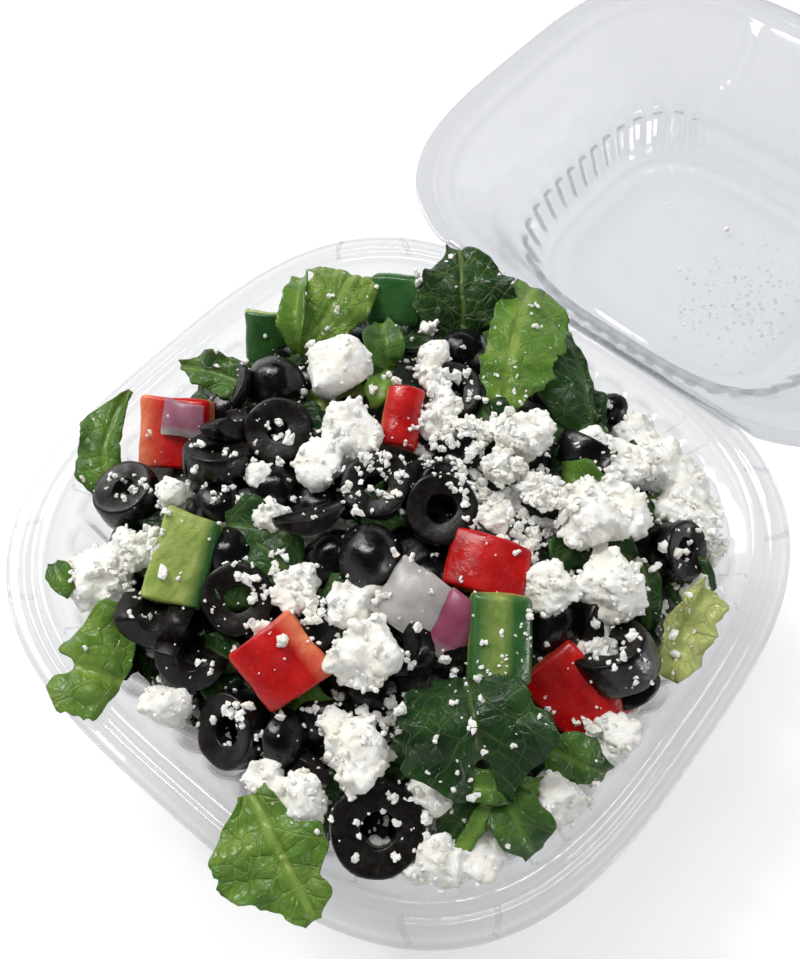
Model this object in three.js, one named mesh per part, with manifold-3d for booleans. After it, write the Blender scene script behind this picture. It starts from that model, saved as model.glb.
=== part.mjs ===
// A Greek salad heaped in a clear hinged takeaway box whose lid lies open behind it.
// Millimetres, +Z up. The origin is the centre of the tray's base, the tray's front
// edge faces -Y, and the hinge runs along X at the back edge of the rim.
import * as THREE from "three";
import { mergeVertices } from "three/addons/utils/BufferGeometryUtils.js";
import Module from "manifold-3d";

const wasm = await Module();
wasm.setup();

// ---- driving dimensions of the box -------------------------------------------------
const RIM_Z = 40; // height of the tray's rim
const FLANGE_Z = 39.4; // top of the flange outside the rim bead
const BEAD_HALF = 68; // half width of the tray at the inner edge of its rim bead
const FLANGE_HALF = 75.5; // half width at the outer edge of the flange
const CORNER_POWER = 3.06; // superellipse power of the tray's outline
const LID_POWER = 3.4; // the lid's outline is a little squarer
const SHEET = 0.8; // wall of the moulded sheet
const HINGE_Y = 71; // hinge axis, behind the tray's centre
const HINGE_GAP = 0.15; // from the axis to the edge of either flange
const LID_DEPTH = 36; // from the lid's flange to its flat top panel
const LID_PANEL_HALF = 38; // half width of the flat top panel
const FLOOR_CLEARANCE = 0.05; // between the open lid's lowest edge and the table
const FLUTE_DEPTH = 2.2; // of the pleats pressed into the walls
const COARSE = 48; // segments round a smooth ring
const FINE = 2 * COARSE; // segments round a pleated ring, one pleat for every two
const FOOD_GAP = 0.5; // between the salad and the tray's inside

// ---- driving dimensions of the salad -----------------------------------------------
const CROWN = 16; // height of the bare core above the rim at its middle
const CORE_HALF = 62; // half width of the core at its top edge
const CORE_FALL = 22.5; // drop of the core's surface from its middle to that edge
const FALL_POWER = 2.6; // how late the surface falls away
const SETTLE = 3.5; // how far the pieces are pressed into the core

// ---- colours -----------------------------------------------------------------------
const clearPlastic = new THREE.MeshStandardMaterial({ color: 0xdfe5ea, roughness: 0.12, metalness: 0 });
const saladGreen = new THREE.MeshStandardMaterial({ color: 0x4c7a2e, roughness: 0.55, metalness: 0 });

// ---- small tools -------------------------------------------------------------------
// A repeatable random number from 0 to 1.
function seeded(seed) {
  let state = seed >>> 0;
  return () => {
    state = (state * 1664525 + 1013904223) >>> 0;
    return state / 4294967296;
  };
}

// Distance from the centre to a rounded-square outline at an angle.
function outlineRadius(angle, half, power) {
  const c = Math.abs(Math.cos(angle));
  const s = Math.abs(Math.sin(angle));
  return half * (c ** power + s ** power) ** (-1 / power);
}

// Half width of the rounded square that passes through a point.
function squareness(x, y) {
  return (Math.abs(x) ** CORNER_POWER + Math.abs(y) ** CORNER_POWER) ** (1 / CORNER_POWER);
}

// One closed ring of points. A pleated ring steps in and out at every other point.
function ring(row, half, z, power, backLimit) {
  const count = row.pleat ? FINE : COARSE;
  const points = [];
  for (let i = 0; i < count; i++) {
    const angle = (2 * Math.PI * i) / count;
    const step = row.pleat ? (i % 2 ? -0.5 : 0.5) * row.pleat : 0;
    const r = outlineRadius(angle, half, power) + step;
    const y = Math.min(r * Math.sin(angle), backLimit);
    points.push(new THREE.Vector3(r * Math.cos(angle), y, z));
  }
  return points;
}

// Joins a stack of rings, from a centre point to a centre point, into a closed geometry.
function skin(rings, firstCentre, lastCentre) {
  const position = [];
  const face = (a, b, c) => position.push(...a, ...b, ...c);
  const fan = (points, centre, flip) =>
    points.forEach((p, i) => {
      const q = points[(i + 1) % points.length];
      if (flip) face(centre, q, p);
      else face(centre, p, q);
    });
  fan(rings[0], firstCentre, false);
  for (let k = 0; k + 1 < rings.length; k++) stitch(rings[k], rings[k + 1], face);
  fan(rings[rings.length - 1], lastCentre, true);
  const geometry = new THREE.BufferGeometry();
  geometry.setAttribute("position", new THREE.Float32BufferAttribute(position, 3));
  return geometry;
}

// Triangles between two rings, one of which may have twice the points of the other.
function stitch(inner, outer, face) {
  const a = inner.length;
  const b = outer.length;
  const steps = Math.min(a, b);
  for (let i = 0; i < steps; i++) {
    const a0 = inner[(i * a) / steps];
    const a1 = inner[((i + 1) * a / steps) % a];
    const b0 = outer[(i * b) / steps];
    const b1 = outer[((i + 1) * b / steps) % b];
    if (a === b) {
      face(a0, b0, b1);
      face(a0, b1, a1);
    } else if (b > a) {
      const middle = outer[(i * b) / steps + 1];
      face(a0, b0, middle);
      face(a0, middle, a1);
      face(a1, middle, b1);
    } else {
      const middle = inner[(i * a) / steps + 1];
      face(a0, b0, middle);
      face(middle, b0, b1);
      face(middle, b1, a1);
    }
  }
}

// A moulded shell: the rows run from the middle out to the flange's edge on the side
// that faces up, and the other side follows them at the sheet's thickness.
function mouldedShell(rows, power, backLimit) {
  const upper = rows.map((row) => ring(row, row.half, row.z, power, backLimit));
  const lower = rows.map((row, k) => {
    const before = rows[Math.max(k - 1, 0)];
    const after = rows[Math.min(k + 1, rows.length - 1)];
    const rise = k === 0 ? 0 : after.z - before.z; // the middle is flat
    const along = new THREE.Vector2(after.half - before.half, rise).normalize();
    const last = k === rows.length - 1;
    const half = last ? row.half : row.half + SHEET * along.y;
    const z = last ? row.z - SHEET : row.z - SHEET * along.x;
    return ring(row, half, z, power, backLimit);
  });
  const middleZ = rows[0].z;
  return skin(
    [...upper, ...lower.reverse()],
    new THREE.Vector3(0, 0, middleZ),
    new THREE.Vector3(0, 0, middleZ - SHEET),
  );
}

// ---- the box -----------------------------------------------------------------------
function trayGeometry() {
  const rows = [
    { half: 49, z: SHEET },
    { half: 53, z: 2.2 },
    { half: 55.5, z: 7, pleat: FLUTE_DEPTH },
    { half: 63.5, z: RIM_Z - 4, pleat: FLUTE_DEPTH },
    { half: 66, z: RIM_Z - 1.2 },
    { half: BEAD_HALF, z: RIM_Z + 0.6 },
    { half: BEAD_HALF + 2.2, z: RIM_Z + 0.6 },
    { half: BEAD_HALF + 3.4, z: FLANGE_Z },
    { half: FLANGE_HALF, z: FLANGE_Z },
  ];
  return mouldedShell(rows, CORNER_POWER, HINGE_Y - HINGE_GAP);
}

// The lid in its own frame: centred on its outline, flange at z = 0, hollow side up.
function lidGeometry() {
  const rows = [
    { half: LID_PANEL_HALF, z: -LID_DEPTH },
    { half: LID_PANEL_HALF + 2.5, z: 0.8 - LID_DEPTH },
    { half: LID_PANEL_HALF + 4.5, z: 2.6 - LID_DEPTH, pleat: FLUTE_DEPTH },
    { half: LID_PANEL_HALF + 10.5, z: 14 - LID_DEPTH, pleat: FLUTE_DEPTH },
    { half: 57, z: -11 },
    { half: BEAD_HALF - 1.5, z: -1.2 },
    { half: BEAD_HALF + 2.8, z: -1.2 },
    { half: BEAD_HALF + 3.6, z: 0 },
    { half: FLANGE_HALF, z: 0 },
  ];
  // Its hinge edge is trimmed at the axis: the outline is mirrored front to back, so
  // the trimmed side is made at +Y here and the mesh is turned half round.
  return mouldedShell(rows, LID_POWER, HINGE_Y - HINGE_GAP);
}

// The open lid leans back until the far edge of its top panel meets the table.
function openLidLean() {
  const reach = HINGE_Y + LID_PANEL_HALF + SHEET;
  const drop = LID_DEPTH + SHEET;
  const lever = Math.hypot(reach, drop);
  return Math.atan2(drop, reach) - Math.asin((FLANGE_Z - FLOOR_CLEARANCE) / lever);
}

// ---- the salad ---------------------------------------------------------------------
// Height of the bare core's top surface.
function coreHeight(x, y) {
  const fall = CORE_FALL * (squareness(x, y) / CORE_HALF) ** FALL_POWER;
  return RIM_Z + CROWN - fall;
}

// The bare core: it stands just clear of the tray's floor and pleated wall.
function coreGeometry() {
  const bottom = SHEET + FOOD_GAP;
  const segments = 32;
  const shares = [0.84, 0.6, 0.32];
  const level = (half, height) => {
    const points = [];
    for (let i = 0; i < segments; i++) {
      const angle = (2 * Math.PI * i) / segments;
      const r = outlineRadius(angle, half, CORNER_POWER);
      const x = r * Math.cos(angle);
      const y = r * Math.sin(angle);
      points.push(new THREE.Vector3(x, y, height ?? coreHeight(x, y)));
    }
    return points;
  };
  const rings = [
    level(47, bottom + 0.2),
    level(50.5, 3.6),
    level(52.5, 8.5),
    level(CORE_HALF - 3.6, RIM_Z - 12),
    ...[1, ...shares].map((share) => level(share * CORE_HALF - 1.2)),
  ];
  const middle = new THREE.Vector3(0, 0, RIM_Z + CROWN);
  return skin(rings.reverse(), middle, new THREE.Vector3(0, 0, bottom + 0.2));
}

// The room that the salad may fill: the tray's inside up to the rim, and all above it.
function roomGeometry() {
  const inset = FLUTE_DEPTH / 2 + FOOD_GAP;
  const rows = [
    { half: 48.4, z: SHEET + FOOD_GAP },
    { half: 52 - FOOD_GAP, z: 2.8 },
    { half: 55.5 - inset, z: 7.4 },
    { half: 63.5 - inset, z: RIM_Z - 4 },
    { half: 66 - FOOD_GAP, z: RIM_Z - 0.6 },
    { half: BEAD_HALF, z: RIM_Z + 0.6 + FOOD_GAP },
    { half: 100, z: RIM_Z + 0.6 + FOOD_GAP },
    { half: 100, z: 3 * RIM_Z },
  ];
  const rings = rows.map((row) => ring(row, row.half, row.z, CORNER_POWER, 200));
  const top = new THREE.Vector3(0, 0, 3 * RIM_Z);
  return skin(rings.reverse(), top, new THREE.Vector3(0, 0, SHEET + FOOD_GAP));
}

// A closed mesh as a solid that can be joined.
function solid(geometry) {
  const bare = geometry.index ? geometry.toNonIndexed() : geometry;
  const plain = new THREE.BufferGeometry();
  plain.setAttribute("position", bare.getAttribute("position"));
  const merged = mergeVertices(plain, 1e-3);
  const made = new wasm.Manifold(
    new wasm.Mesh({
      numProp: 3,
      vertProperties: merged.getAttribute("position").array,
      triVerts: new Uint32Array(merged.index.array),
    }),
  );
  if (made.volume() <= 0) throw new Error("a piece is inside out");
  return made;
}

// Where a piece lies: its own Z axis leans from the vertical towards a compass angle,
// and it is first spun about that axis. Rise is measured from the bare core.
function placed(geometry, { x, y, rise = 0, lean = 0, toward = 0, spin = 0 }) {
  const rad = THREE.MathUtils.degToRad;
  const axis = new THREE.Vector3(-Math.sin(rad(toward)), Math.cos(rad(toward)), 0);
  const turn = new THREE.Quaternion().setFromAxisAngle(axis, rad(lean));
  turn.multiply(new THREE.Quaternion().setFromAxisAngle(new THREE.Vector3(0, 0, 1), rad(spin)));
  const at = new THREE.Vector3(x, y, coreHeight(x, y) + rise - SETTLE);
  return geometry.applyMatrix4(new THREE.Matrix4().compose(at, turn, new THREE.Vector3(1, 1, 1)));
}

// ---- olives ------------------------------------------------------------------------
const OLIVE_SIDES = 8;
const OLIVE_HOLE = 0.3; // of the olive's radius

// A slice of a pitted olive: a short barrel with a hole.
function oliveSlice(radius, height) {
  const hole = radius * OLIVE_HOLE;
  const h = height / 2;
  const profile = [
    [hole, -h],
    [radius, -h * 0.8],
    [radius, h * 0.8],
    [hole, h],
    [hole, -h],
  ].map(([r, z]) => new THREE.Vector2(r, z));
  return new THREE.LatheGeometry(profile, OLIVE_SIDES).rotateX(Math.PI / 2);
}

// The rounded end of an olive.
function oliveEnd(radius, height) {
  const profile = [
    [0, -height / 2],
    [radius * 0.94, -height / 2],
    [radius, -height / 6],
    [radius * 0.72, height / 3],
    [0, height / 2],
  ].map(([r, z]) => new THREE.Vector2(r, z));
  return new THREE.LatheGeometry(profile, OLIVE_SIDES).rotateX(Math.PI / 2);
}

const OLIVE_SLICES = [
  // x, y, rise, lean, toward, radius, height
  [-49, -34, 5, 14, 200, 6.9, 8.5],
  [-31, -5, 5, 24, -60, 7.2, 6.5],
  [-37, -18, 6, 28, 126, 7.0, 7.5],
  [-5, -4, 5, 14, -54, 7.2, 7.0],
  [-12, -38, 4, 20, -54, 7.4, 6.5],
  [3, -56, 6, 42, -110, 7.3, 8.0],
  [36, -52, 7, 28, -54, 8.2, 7.0],
  [52, -1, 10, 24, 80, 8.0, 10.0],
  [49, 32, 6, 38, 10, 6.3, 6.0],
  [8, 1, 4, 22, -54, 7.4, 7.5],
  [-15, 37, 7, 20, -60, 6.0, 7.0],
  [-9, 27, 4, 12, -54, 6.4, 6.0],
];
const OLIVE_ENDS = [
  // x, y, rise, lean, toward, radius, height
  [-40, 6, 7, 16, 90, 6.9, 9.0],
  [5, -17, 7, 20, -30, 7.4, 8.5],
  [-30, -59, 6, 60, 200, 7.0, 7.0],
  [-21, -51, 6, 34, -54, 7.2, 8.0],
  [-11, -55, 6, 46, -54, 6.8, 8.0],
  [-19, -31, 3, 40, 20, 6.4, 7.0],
  [-29, -26, 3, 30, -54, 6.4, 7.0],
  [35, 31, 4, 50, 40, 6.4, 8.0],
  [16, 60, 4, 30, 90, 4.6, 6.0],
  [40, -3, 2, 70, -54, 6.6, 6.0],
  [-4, -21, 2, 30, -120, 6.8, 7.0],
  [14, -51, 5, 64, 20, 6.4, 6.0],
  [-48, -5, 4, 20, -54, 6.0, 7.0],
];

// ---- peppers and onion -------------------------------------------------------------
// A diced slab, a little domed along X, as cut from the wall of a pepper or an onion.
function slab(width, length, thick, dome) {
  const geometry = new THREE.BoxGeometry(width, length, thick, 2, 1, 1);
  const p = geometry.getAttribute("position");
  for (let i = 0; i < p.count; i++) {
    const share = (2 * p.getX(i)) / width;
    p.setZ(i, p.getZ(i) - dome * share * share);
  }
  geometry.deleteAttribute("normal");
  geometry.deleteAttribute("uv");
  return geometry;
}

const DICED = [
  // x, y, rise, lean, toward, spin, width, length, thick, dome
  [-56, 18, 8, 62, -54, 0, 10, 13, 3, 0.6], // green pepper, standing
  [-40, 47, 9, 40, -54, 20, 14, 12, 5, 1.0], // green pepper, pale edge up
  [-26, -39, 8, 24, -40, 28, 11, 18, 6, 0.4], // green pepper, cut flesh up
  [34, -14, 9, 30, -54, 38, 12, 17, 7, 1.8], // green pepper, ribbed
  [-53, -17, 8, 36, -80, 40, 15, 16, 6, 0.8], // red pepper, cut flesh at its left
  [-11, 12, 7, 24, -20, 30, 8, 13, 4, 1.2], // red pepper, pointed
  [23, -3, 6, 14, -54, 28, 16, 11, 5, 1.6], // red pepper, rounded
  [4, -43, 7.5, 24, -54, 76, 15, 15, 4.5, 1.0], // red pepper, square
  [51, -9, 5, 30, -54, -8, 19, 14, 5, 1.0], // red pepper, under an olive
  [17, -19, 8, 22, -80, 80, 12, 14, 2.4, 1.0], // onion, clear
  [26, -18, 7, 34, -54, 4, 9, 13, 2.6, 1.0], // onion, purple
  [-52, -13, 12, 34, -80, 40, 10, 8, 2.0, 0.6], // onion on the red pepper
];

// ---- feta --------------------------------------------------------------------------
const LARGE_LUMP = 7; // radii above this get the most faces
const SMALL_LUMP = 5.3; // radii below this get the fewest

// A broken lump: a faceted ball pushed in and out at random and squashed.
function lump(radius, squash, seed) {
  const sides = radius > LARGE_LUMP ? 7 : radius > SMALL_LUMP ? 6 : 5;
  const geometry = new THREE.SphereGeometry(1, sides, sides - 2);
  geometry.deleteAttribute("normal");
  geometry.deleteAttribute("uv");
  const ball = mergeVertices(geometry, 1e-3);
  const draw = seeded(seed);
  const p = ball.getAttribute("position");
  for (let i = 0; i < p.count; i++) {
    const r = radius * (0.82 + 0.34 * draw());
    p.setXYZ(i, r * p.getX(i), r * p.getY(i), r * squash * p.getZ(i));
  }
  return ball.rotateZ(6.28 * draw());
}

const FETA_LUMPS = [
  // x, y, rise, radius, squash
  [-31, 14, 7, 6.9, 0.85],
  [-17, 1, 8, 7.0, 0.9],
  [-17, -7, 6, 5.6, 0.8],
  [-42, -49, 5, 8.6, 0.75],
  [-35, -40, 6, 4.2, 0.8],
  [-39, -29, 5, 3.8, 0.9],
  [-18, -21, 4, 4.4, 0.8],
  [-27, -15, 4, 3.4, 0.8],
  [-3, -30, 5, 5.0, 0.7],
  [6, -26, 5, 5.2, 0.7],
  [16, -32, 8, 7.2, 0.85],
  [26, -47, 8, 8.2, 0.8],
  [22, -57, 4, 5.4, 0.8],
  [40, -42, 5, 5.6, 0.8],
  [46, -49, 4, 5.8, 0.8],
  [-10, -60, 3, 5.0, 0.7],
  [54, -43, 4, 5.0, 0.6],
  [59, -25, 6, 5.2, 0.9],
  [-5, 17, 5, 4.4, 0.8],
  [9, 27, 6, 6.6, 0.8],
  [12, 15, 6, 6.0, 0.7],
  [1, 19, 4, 5.0, 0.7],
  [32, 20, 7, 8.0, 0.8],
  [43, 11, 9, 7.8, 0.85],
  [35, 2, 7, 6.0, 0.9],
  [33, 48, 4, 7.6, 0.8],
  [24, 53, 3, 5.6, 0.8],
  [46, 41, 5, 7.4, 0.8],
  [54, 31, 4, 5.6, 0.8],
  [60, -8, 3, 4.6, 0.7],
  [17, 5, 5, 4.8, 0.7],
  [22, 18, 5, 5.6, 0.7],
  [21, 38, 5.5, 3.6, 0.8],
];

// Smaller crumbs, scattered over the middle of the heap by a seeded draw.
const CRUMBS = 12;
function crumbPlaces() {
  const draw = seeded(71);
  const places = [];
  while (places.length < CRUMBS) {
    const x = 116 * (draw() - 0.5);
    const y = 116 * (draw() - 0.5);
    const radius = 1.6 + 1.4 * draw();
    if (squareness(x, y) < 54) places.push([x, y, 3.4, radius, 0.8]);
  }
  return places;
}

// ---- lettuce -----------------------------------------------------------------------
const LEAF_THICK = 0.9;
const LEAF_STEPS = 4; // along the midrib
const WIDE_LEAF = 12; // a blade wider than this has four bands across it, others two

// A thin wavy leaf along the arc through three points of its midrib. Its blade is
// cupped towards its upper face, and its edge waves.
function leaf(base, middle, tip, width, cup, face) {
  const curve = new THREE.QuadraticBezierCurve3(
    new THREE.Vector3(...base),
    new THREE.Vector3(...middle).multiplyScalar(2)
      .addScaledVector(new THREE.Vector3(...base), -0.5)
      .addScaledVector(new THREE.Vector3(...tip), -0.5),
    new THREE.Vector3(...tip),
  );
  const facing = new THREE.Vector3(...face).normalize();
  const bands = width > WIDE_LEAF ? 4 : 2;
  const top = [];
  const under = [];
  for (let i = 0; i <= LEAF_STEPS; i++) {
    const t = i / LEAF_STEPS;
    const along = curve.getTangent(t);
    const across = new THREE.Vector3().crossVectors(facing, along).normalize();
    const up = new THREE.Vector3().crossVectors(along, across);
    const spread = width * (0.32 + 0.68 * Math.sin(Math.PI * (0.12 + 0.74 * t)) ** 0.8) / 2;
    for (let j = 0; j <= bands; j++) {
      const s = (2 * j) / bands - 1;
      const wave = 0.09 * width * s * Math.sin(9 * t + 2 * j);
      const lift = cup * width * s * s + wave;
      const point = curve.getPoint(t).addScaledVector(across, s * spread).addScaledVector(up, lift);
      top.push(point);
      under.push(point.clone().addScaledVector(up, -LEAF_THICK));
    }
  }
  return leafSkin(top, under, bands);
}

function leafSkin(top, under, bands) {
  const position = [];
  const face = (a, b, c) => position.push(...a, ...b, ...c);
  const row = bands + 1;
  for (let i = 0; i < LEAF_STEPS; i++)
    for (let j = 0; j < bands; j++) {
      const a = i * row + j;
      const [b, c, d] = [a + 1, a + row, a + row + 1];
      face(top[a], top[c], top[b]);
      face(top[b], top[c], top[d]);
      face(under[a], under[b], under[c]);
      face(under[b], under[d], under[c]);
    }
  const edge = (a, b) => {
    face(top[a], top[b], under[a]);
    face(top[b], under[b], under[a]);
  };
  for (let j = 0; j < bands; j++) {
    edge(j, j + 1);
    edge(LEAF_STEPS * row + j + 1, LEAF_STEPS * row + j);
  }
  for (let i = 0; i < LEAF_STEPS; i++) {
    edge((i + 1) * row, i * row);
    edge(i * row + bands, (i + 1) * row + bands);
  }
  const geometry = new THREE.BufferGeometry();
  geometry.setAttribute("position", new THREE.Float32BufferAttribute(position, 3));
  return geometry;
}

const UPWARD = [0.25, -0.35, 1]; // most blades face up and a little forward
const LEAVES = [
  // midrib: base, middle, tip; then width, cup, facing
  [[-52, -36, 42], [-62, -30, 47], [-66, -17, 48], 13, 0.1, UPWARD],
  [[-46, 4, 43], [-56, 1, 45], [-65, -2, 44], 10, 0.15, UPWARD],
  [[-38, 14, 48], [-44, 25, 56], [-41, 38, 55], 19, 0.2, [0.3, -0.4, 1]],
  [[-16, 38, 48], [-21, 47, 56], [-31, 56, 56], 20, 0.12, [0.4, -0.6, 1]],
  [[5, 29, 54], [-3, 43, 60], [-13, 58, 56], 19, -0.12, [0.4, -0.4, 1]],
  [[21, 36, 49], [10, 46, 54], [-1, 58, 51], 13, -0.2, [0.6, -0.2, 1]],
  [[-20, 19, 53], [-25, 23, 60], [-28, 31, 59], 8, 0.2, UPWARD],
  [[-24, 17, 54], [-19, 13, 60], [-16, 9, 57], 7, -0.1, UPWARD],
  [[-20, -60, 39], [-27, -66, 44], [-34, -68, 43.5], 20, 0.05, [0, -0.2, 1]],
  [[15, -60, 38.5], [24, -71, 43.6], [36, -77, 43], 19, 0.03, [0, 0, 1]],
  [[43, -18, 50], [39, -32, 56], [28, -38, 51], 20, -0.12, [0.2, -0.5, 1]],
  [[42, -37, 46], [51, -34, 49], [57, -24, 44], 6, 0.1, UPWARD],
  [[50, -32, 42], [49, -41, 45], [49, -48, 40], 8, 0.1, UPWARD],
  [[51, -32, 42], [57, -34, 45], [61, -37, 42], 9, -0.1, UPWARD],
  [[52, -20, 41], [58, -19, 43], [62, -18, 40], 8, 0.1, UPWARD],
  [[58, 35, 40], [59, 23, 44], [60, 11, 40], 8, 0.15, [0.4, 0, 1]],
  [[43, 26, 45], [49, 18, 49], [54, 10, 43], 6, 0.1, UPWARD],
];

// All of the salad as one body, without the scraps and sealed hollows of the joining.
function saladGeometry() {
  let heap = solid(coreGeometry());
  const add = (geometry) => {
    heap = heap.add(solid(geometry));
  };
  for (const [base, middle, tip, width, cup, face] of LEAVES)
    add(leaf(base, middle, tip, width, cup, face));
  for (const [x, y, rise, lean, toward, radius, height] of OLIVE_SLICES)
    add(placed(oliveSlice(radius, height), { x, y, rise, lean, toward }));
  for (const [x, y, rise, lean, toward, radius, height] of OLIVE_ENDS)
    add(placed(oliveEnd(radius, height), { x, y, rise, lean, toward }));
  for (const [x, y, rise, lean, toward, spin, width, length, thick, dome] of DICED)
    add(placed(slab(width, length, thick, dome), { x, y, rise, lean, toward, spin }));
  FETA_LUMPS.forEach(([x, y, rise, radius, squash], i) =>
    add(placed(lump(radius, squash, 100 + i), { x, y, rise })),
  );
  crumbPlaces().forEach(([x, y, rise, radius, squash], i) =>
    add(placed(lump(radius, squash, 300 + i), { x, y, rise })),
  );
  heap = heap.intersect(solid(roomGeometry()));
  const bodies = heap.decompose().sort((a, b) => b.volume() - a.volume());
  const mesh = bodies[0].getMesh();
  const geometry = new THREE.BufferGeometry();
  geometry.setAttribute("position", new THREE.BufferAttribute(mesh.vertProperties, 3));
  geometry.setIndex(new THREE.BufferAttribute(mesh.triVerts, 1));
  return geometry;
}

// ---- assembly ----------------------------------------------------------------------
function named(name, geometry, material) {
  const mesh = new THREE.Mesh(geometry, material);
  mesh.name = name;
  return mesh;
}

const tray = named("tray", trayGeometry(), clearPlastic);
const salad = named("salad", saladGeometry(), saladGreen);
const lid = named("lid", lidGeometry(), clearPlastic);
lid.position.y = HINGE_Y; // the lid's outline is centred this far behind the hinge
lid.rotation.z = Math.PI; // its trimmed edge faces the hinge

const lidOnHinge = new THREE.Group();
lidOnHinge.position.set(0, HINGE_Y, FLANGE_Z);
lidOnHinge.rotation.x = openLidLean();
lidOnHinge.add(lid);

const box = new THREE.Group();
box.add(tray, salad, lidOnHinge);
export default box;
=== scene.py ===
"""A Greek salad heaped in a clear hinged takeaway box whose lid lies open behind it.

Pieces are modelled in millimetres, in the frame's own axes, and settled into metres last.
"""
import bisect
import math
import random

import bmesh
import bpy
import numpy as np
from mathutils import Matrix, Quaternion, Vector, noise
from mathutils.bvhtree import BVHTree


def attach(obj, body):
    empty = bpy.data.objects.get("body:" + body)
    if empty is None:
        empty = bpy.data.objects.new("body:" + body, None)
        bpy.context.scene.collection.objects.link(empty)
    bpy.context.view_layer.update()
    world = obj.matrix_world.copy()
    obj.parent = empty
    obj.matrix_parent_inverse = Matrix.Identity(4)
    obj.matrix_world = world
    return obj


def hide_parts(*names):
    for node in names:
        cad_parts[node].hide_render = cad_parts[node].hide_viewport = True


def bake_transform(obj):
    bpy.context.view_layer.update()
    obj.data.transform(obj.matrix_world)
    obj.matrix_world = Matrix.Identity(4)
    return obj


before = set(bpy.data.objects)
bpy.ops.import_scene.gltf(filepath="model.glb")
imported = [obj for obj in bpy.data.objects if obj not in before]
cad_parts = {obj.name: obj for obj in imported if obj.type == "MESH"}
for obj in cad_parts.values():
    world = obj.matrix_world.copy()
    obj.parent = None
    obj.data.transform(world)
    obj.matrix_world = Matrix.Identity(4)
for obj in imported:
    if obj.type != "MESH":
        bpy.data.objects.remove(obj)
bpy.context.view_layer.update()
bpy.ops.object.select_all(action="DESELECT")

MM = 0.001

# ---- driving dimensions, in millimetres --------------------------------------------
RIM_Z = 40.0
FLANGE_Z = 39.4
BEAD_HALF = 68.0
FLANGE_HALF = 75.5
CORNER_POWER = 3.06
LID_POWER = 3.4
SHEET = 0.5
HINGE_Y = 71.0
HINGE_GAP = 0.15
LID_DEPTH = 36.0
LID_PANEL_HALF = 38.0
FLOOR_CLEARANCE = 0.05
FLUTES = 48
SCALLOP_DEPTH = 2.9
FLUTE_DEPTH = 2.0
STEPS_PER_FLUTE = 12

CROWN = 16.0
CORE_HALF = 62.0
CORE_FALL = 22.5
FALL_POWER = 2.6
SETTLE = 3.5
CORE_DROP = 3.5


# ---- small tools -------------------------------------------------------------------
def squareness(x, y):
    """Half width of the rounded square that passes through a point."""
    power = CORNER_POWER
    return (np.abs(x) ** power + np.abs(y) ** power) ** (1 / power)


def outline_radius(angle, half, power):
    c, s = np.abs(np.cos(angle)), np.abs(np.sin(angle))
    return half * (c**power + s**power) ** (-1 / power)


def core_height(x, y):
    """Height of the heap's bare core, which the pieces are pressed into."""
    return RIM_Z + CROWN - CORE_FALL * (squareness(x, y) / CORE_HALF) ** FALL_POWER


def smooth_step(low, high, value):
    t = np.clip((value - low) / (high - low), 0, 1)
    return t * t * (3 - 2 * t)


def points_of(mesh):
    flat = np.empty(3 * len(mesh.vertices))
    mesh.vertices.foreach_get("co", flat)
    return flat.reshape(-1, 3)


def move_points(mesh, points):
    mesh.vertices.foreach_set("co", np.asarray(points, float).ravel())
    mesh.update()


def normals_of(mesh):
    flat = np.empty(3 * len(mesh.vertices))
    mesh.vertices.foreach_get("normal", flat)
    return flat.reshape(-1, 3)


def noise_at(points, size, seed=0.0):
    """Smooth noise from about -1 to 1 at each point, in lumps of the given size."""
    shift = Vector((seed * 17.3, seed * 5.1, -seed * 9.7))
    return np.array([noise.noise(Vector(p) / size + shift) for p in points])


def alone(piece):
    bpy.ops.object.select_all(action="DESELECT")
    piece.select_set(True)
    bpy.context.view_layer.objects.active = piece
    return piece


def lay(kind, **how):
    """Adds one primitive, alone in the selection, and returns it."""
    bpy.ops.object.select_all(action="DESELECT")
    getattr(bpy.ops.mesh, f"primitive_{kind}_add")(**how)
    return bpy.context.object


def open_edit(piece, mode="FACE"):
    alone(piece)
    bpy.ops.object.mode_set(mode="EDIT")
    bpy.ops.mesh.select_mode(type=mode)
    bpy.ops.mesh.select_all(action="DESELECT")


def close_edit():
    bpy.ops.object.mode_set(mode="OBJECT")


def pick_faces(piece, wanted):
    mesh = bmesh.from_edit_mesh(piece.data)
    for face in mesh.faces:
        face.select_set(wanted(face.calc_center_median(), face.normal))
    bmesh.update_edit_mesh(piece.data)


def pick_edges(piece, wanted):
    mesh = bmesh.from_edit_mesh(piece.data)
    for edge in mesh.edges:
        edge.select_set(wanted(*(v.co for v in edge.verts)))
    bmesh.update_edit_mesh(piece.data)


def finish_with(piece, kind, **settings):
    """Adds a modifier and applies it."""
    modifier = piece.modifiers.new(kind.title(), kind)
    for name, value in settings.items():
        setattr(modifier, name, value)
    alone(piece)
    bpy.ops.object.modifier_apply(modifier=modifier.name)
    return piece


def set_attribute(mesh, name, values):
    layer = mesh.attributes.get(name) or mesh.attributes.new(name, "FLOAT", "POINT")
    layer.data.foreach_set("value", np.asarray(values, np.float32))


def joined(name, parts, finish, body="box"):
    """Joins modelled parts into one named piece in metres, smooth, on its body."""
    alone(parts[0])
    for part in parts:
        part.select_set(True)
    if len(parts) > 1:
        bpy.ops.object.join()
    piece = parts[0]
    piece.name = name
    piece.data.name = name
    piece.data.materials.clear()
    piece.data.materials.append(finish)
    piece.data.transform(Matrix.Scale(MM, 4))
    piece.data.shade_smooth()
    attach(piece, body)
    return piece


def piece_from(name, points, faces):
    mesh = bpy.data.meshes.new(name)
    mesh.from_pydata([tuple(p) for p in points], [], faces)
    piece = bpy.data.objects.new(name, mesh)
    bpy.context.scene.collection.objects.link(piece)
    return piece


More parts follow.
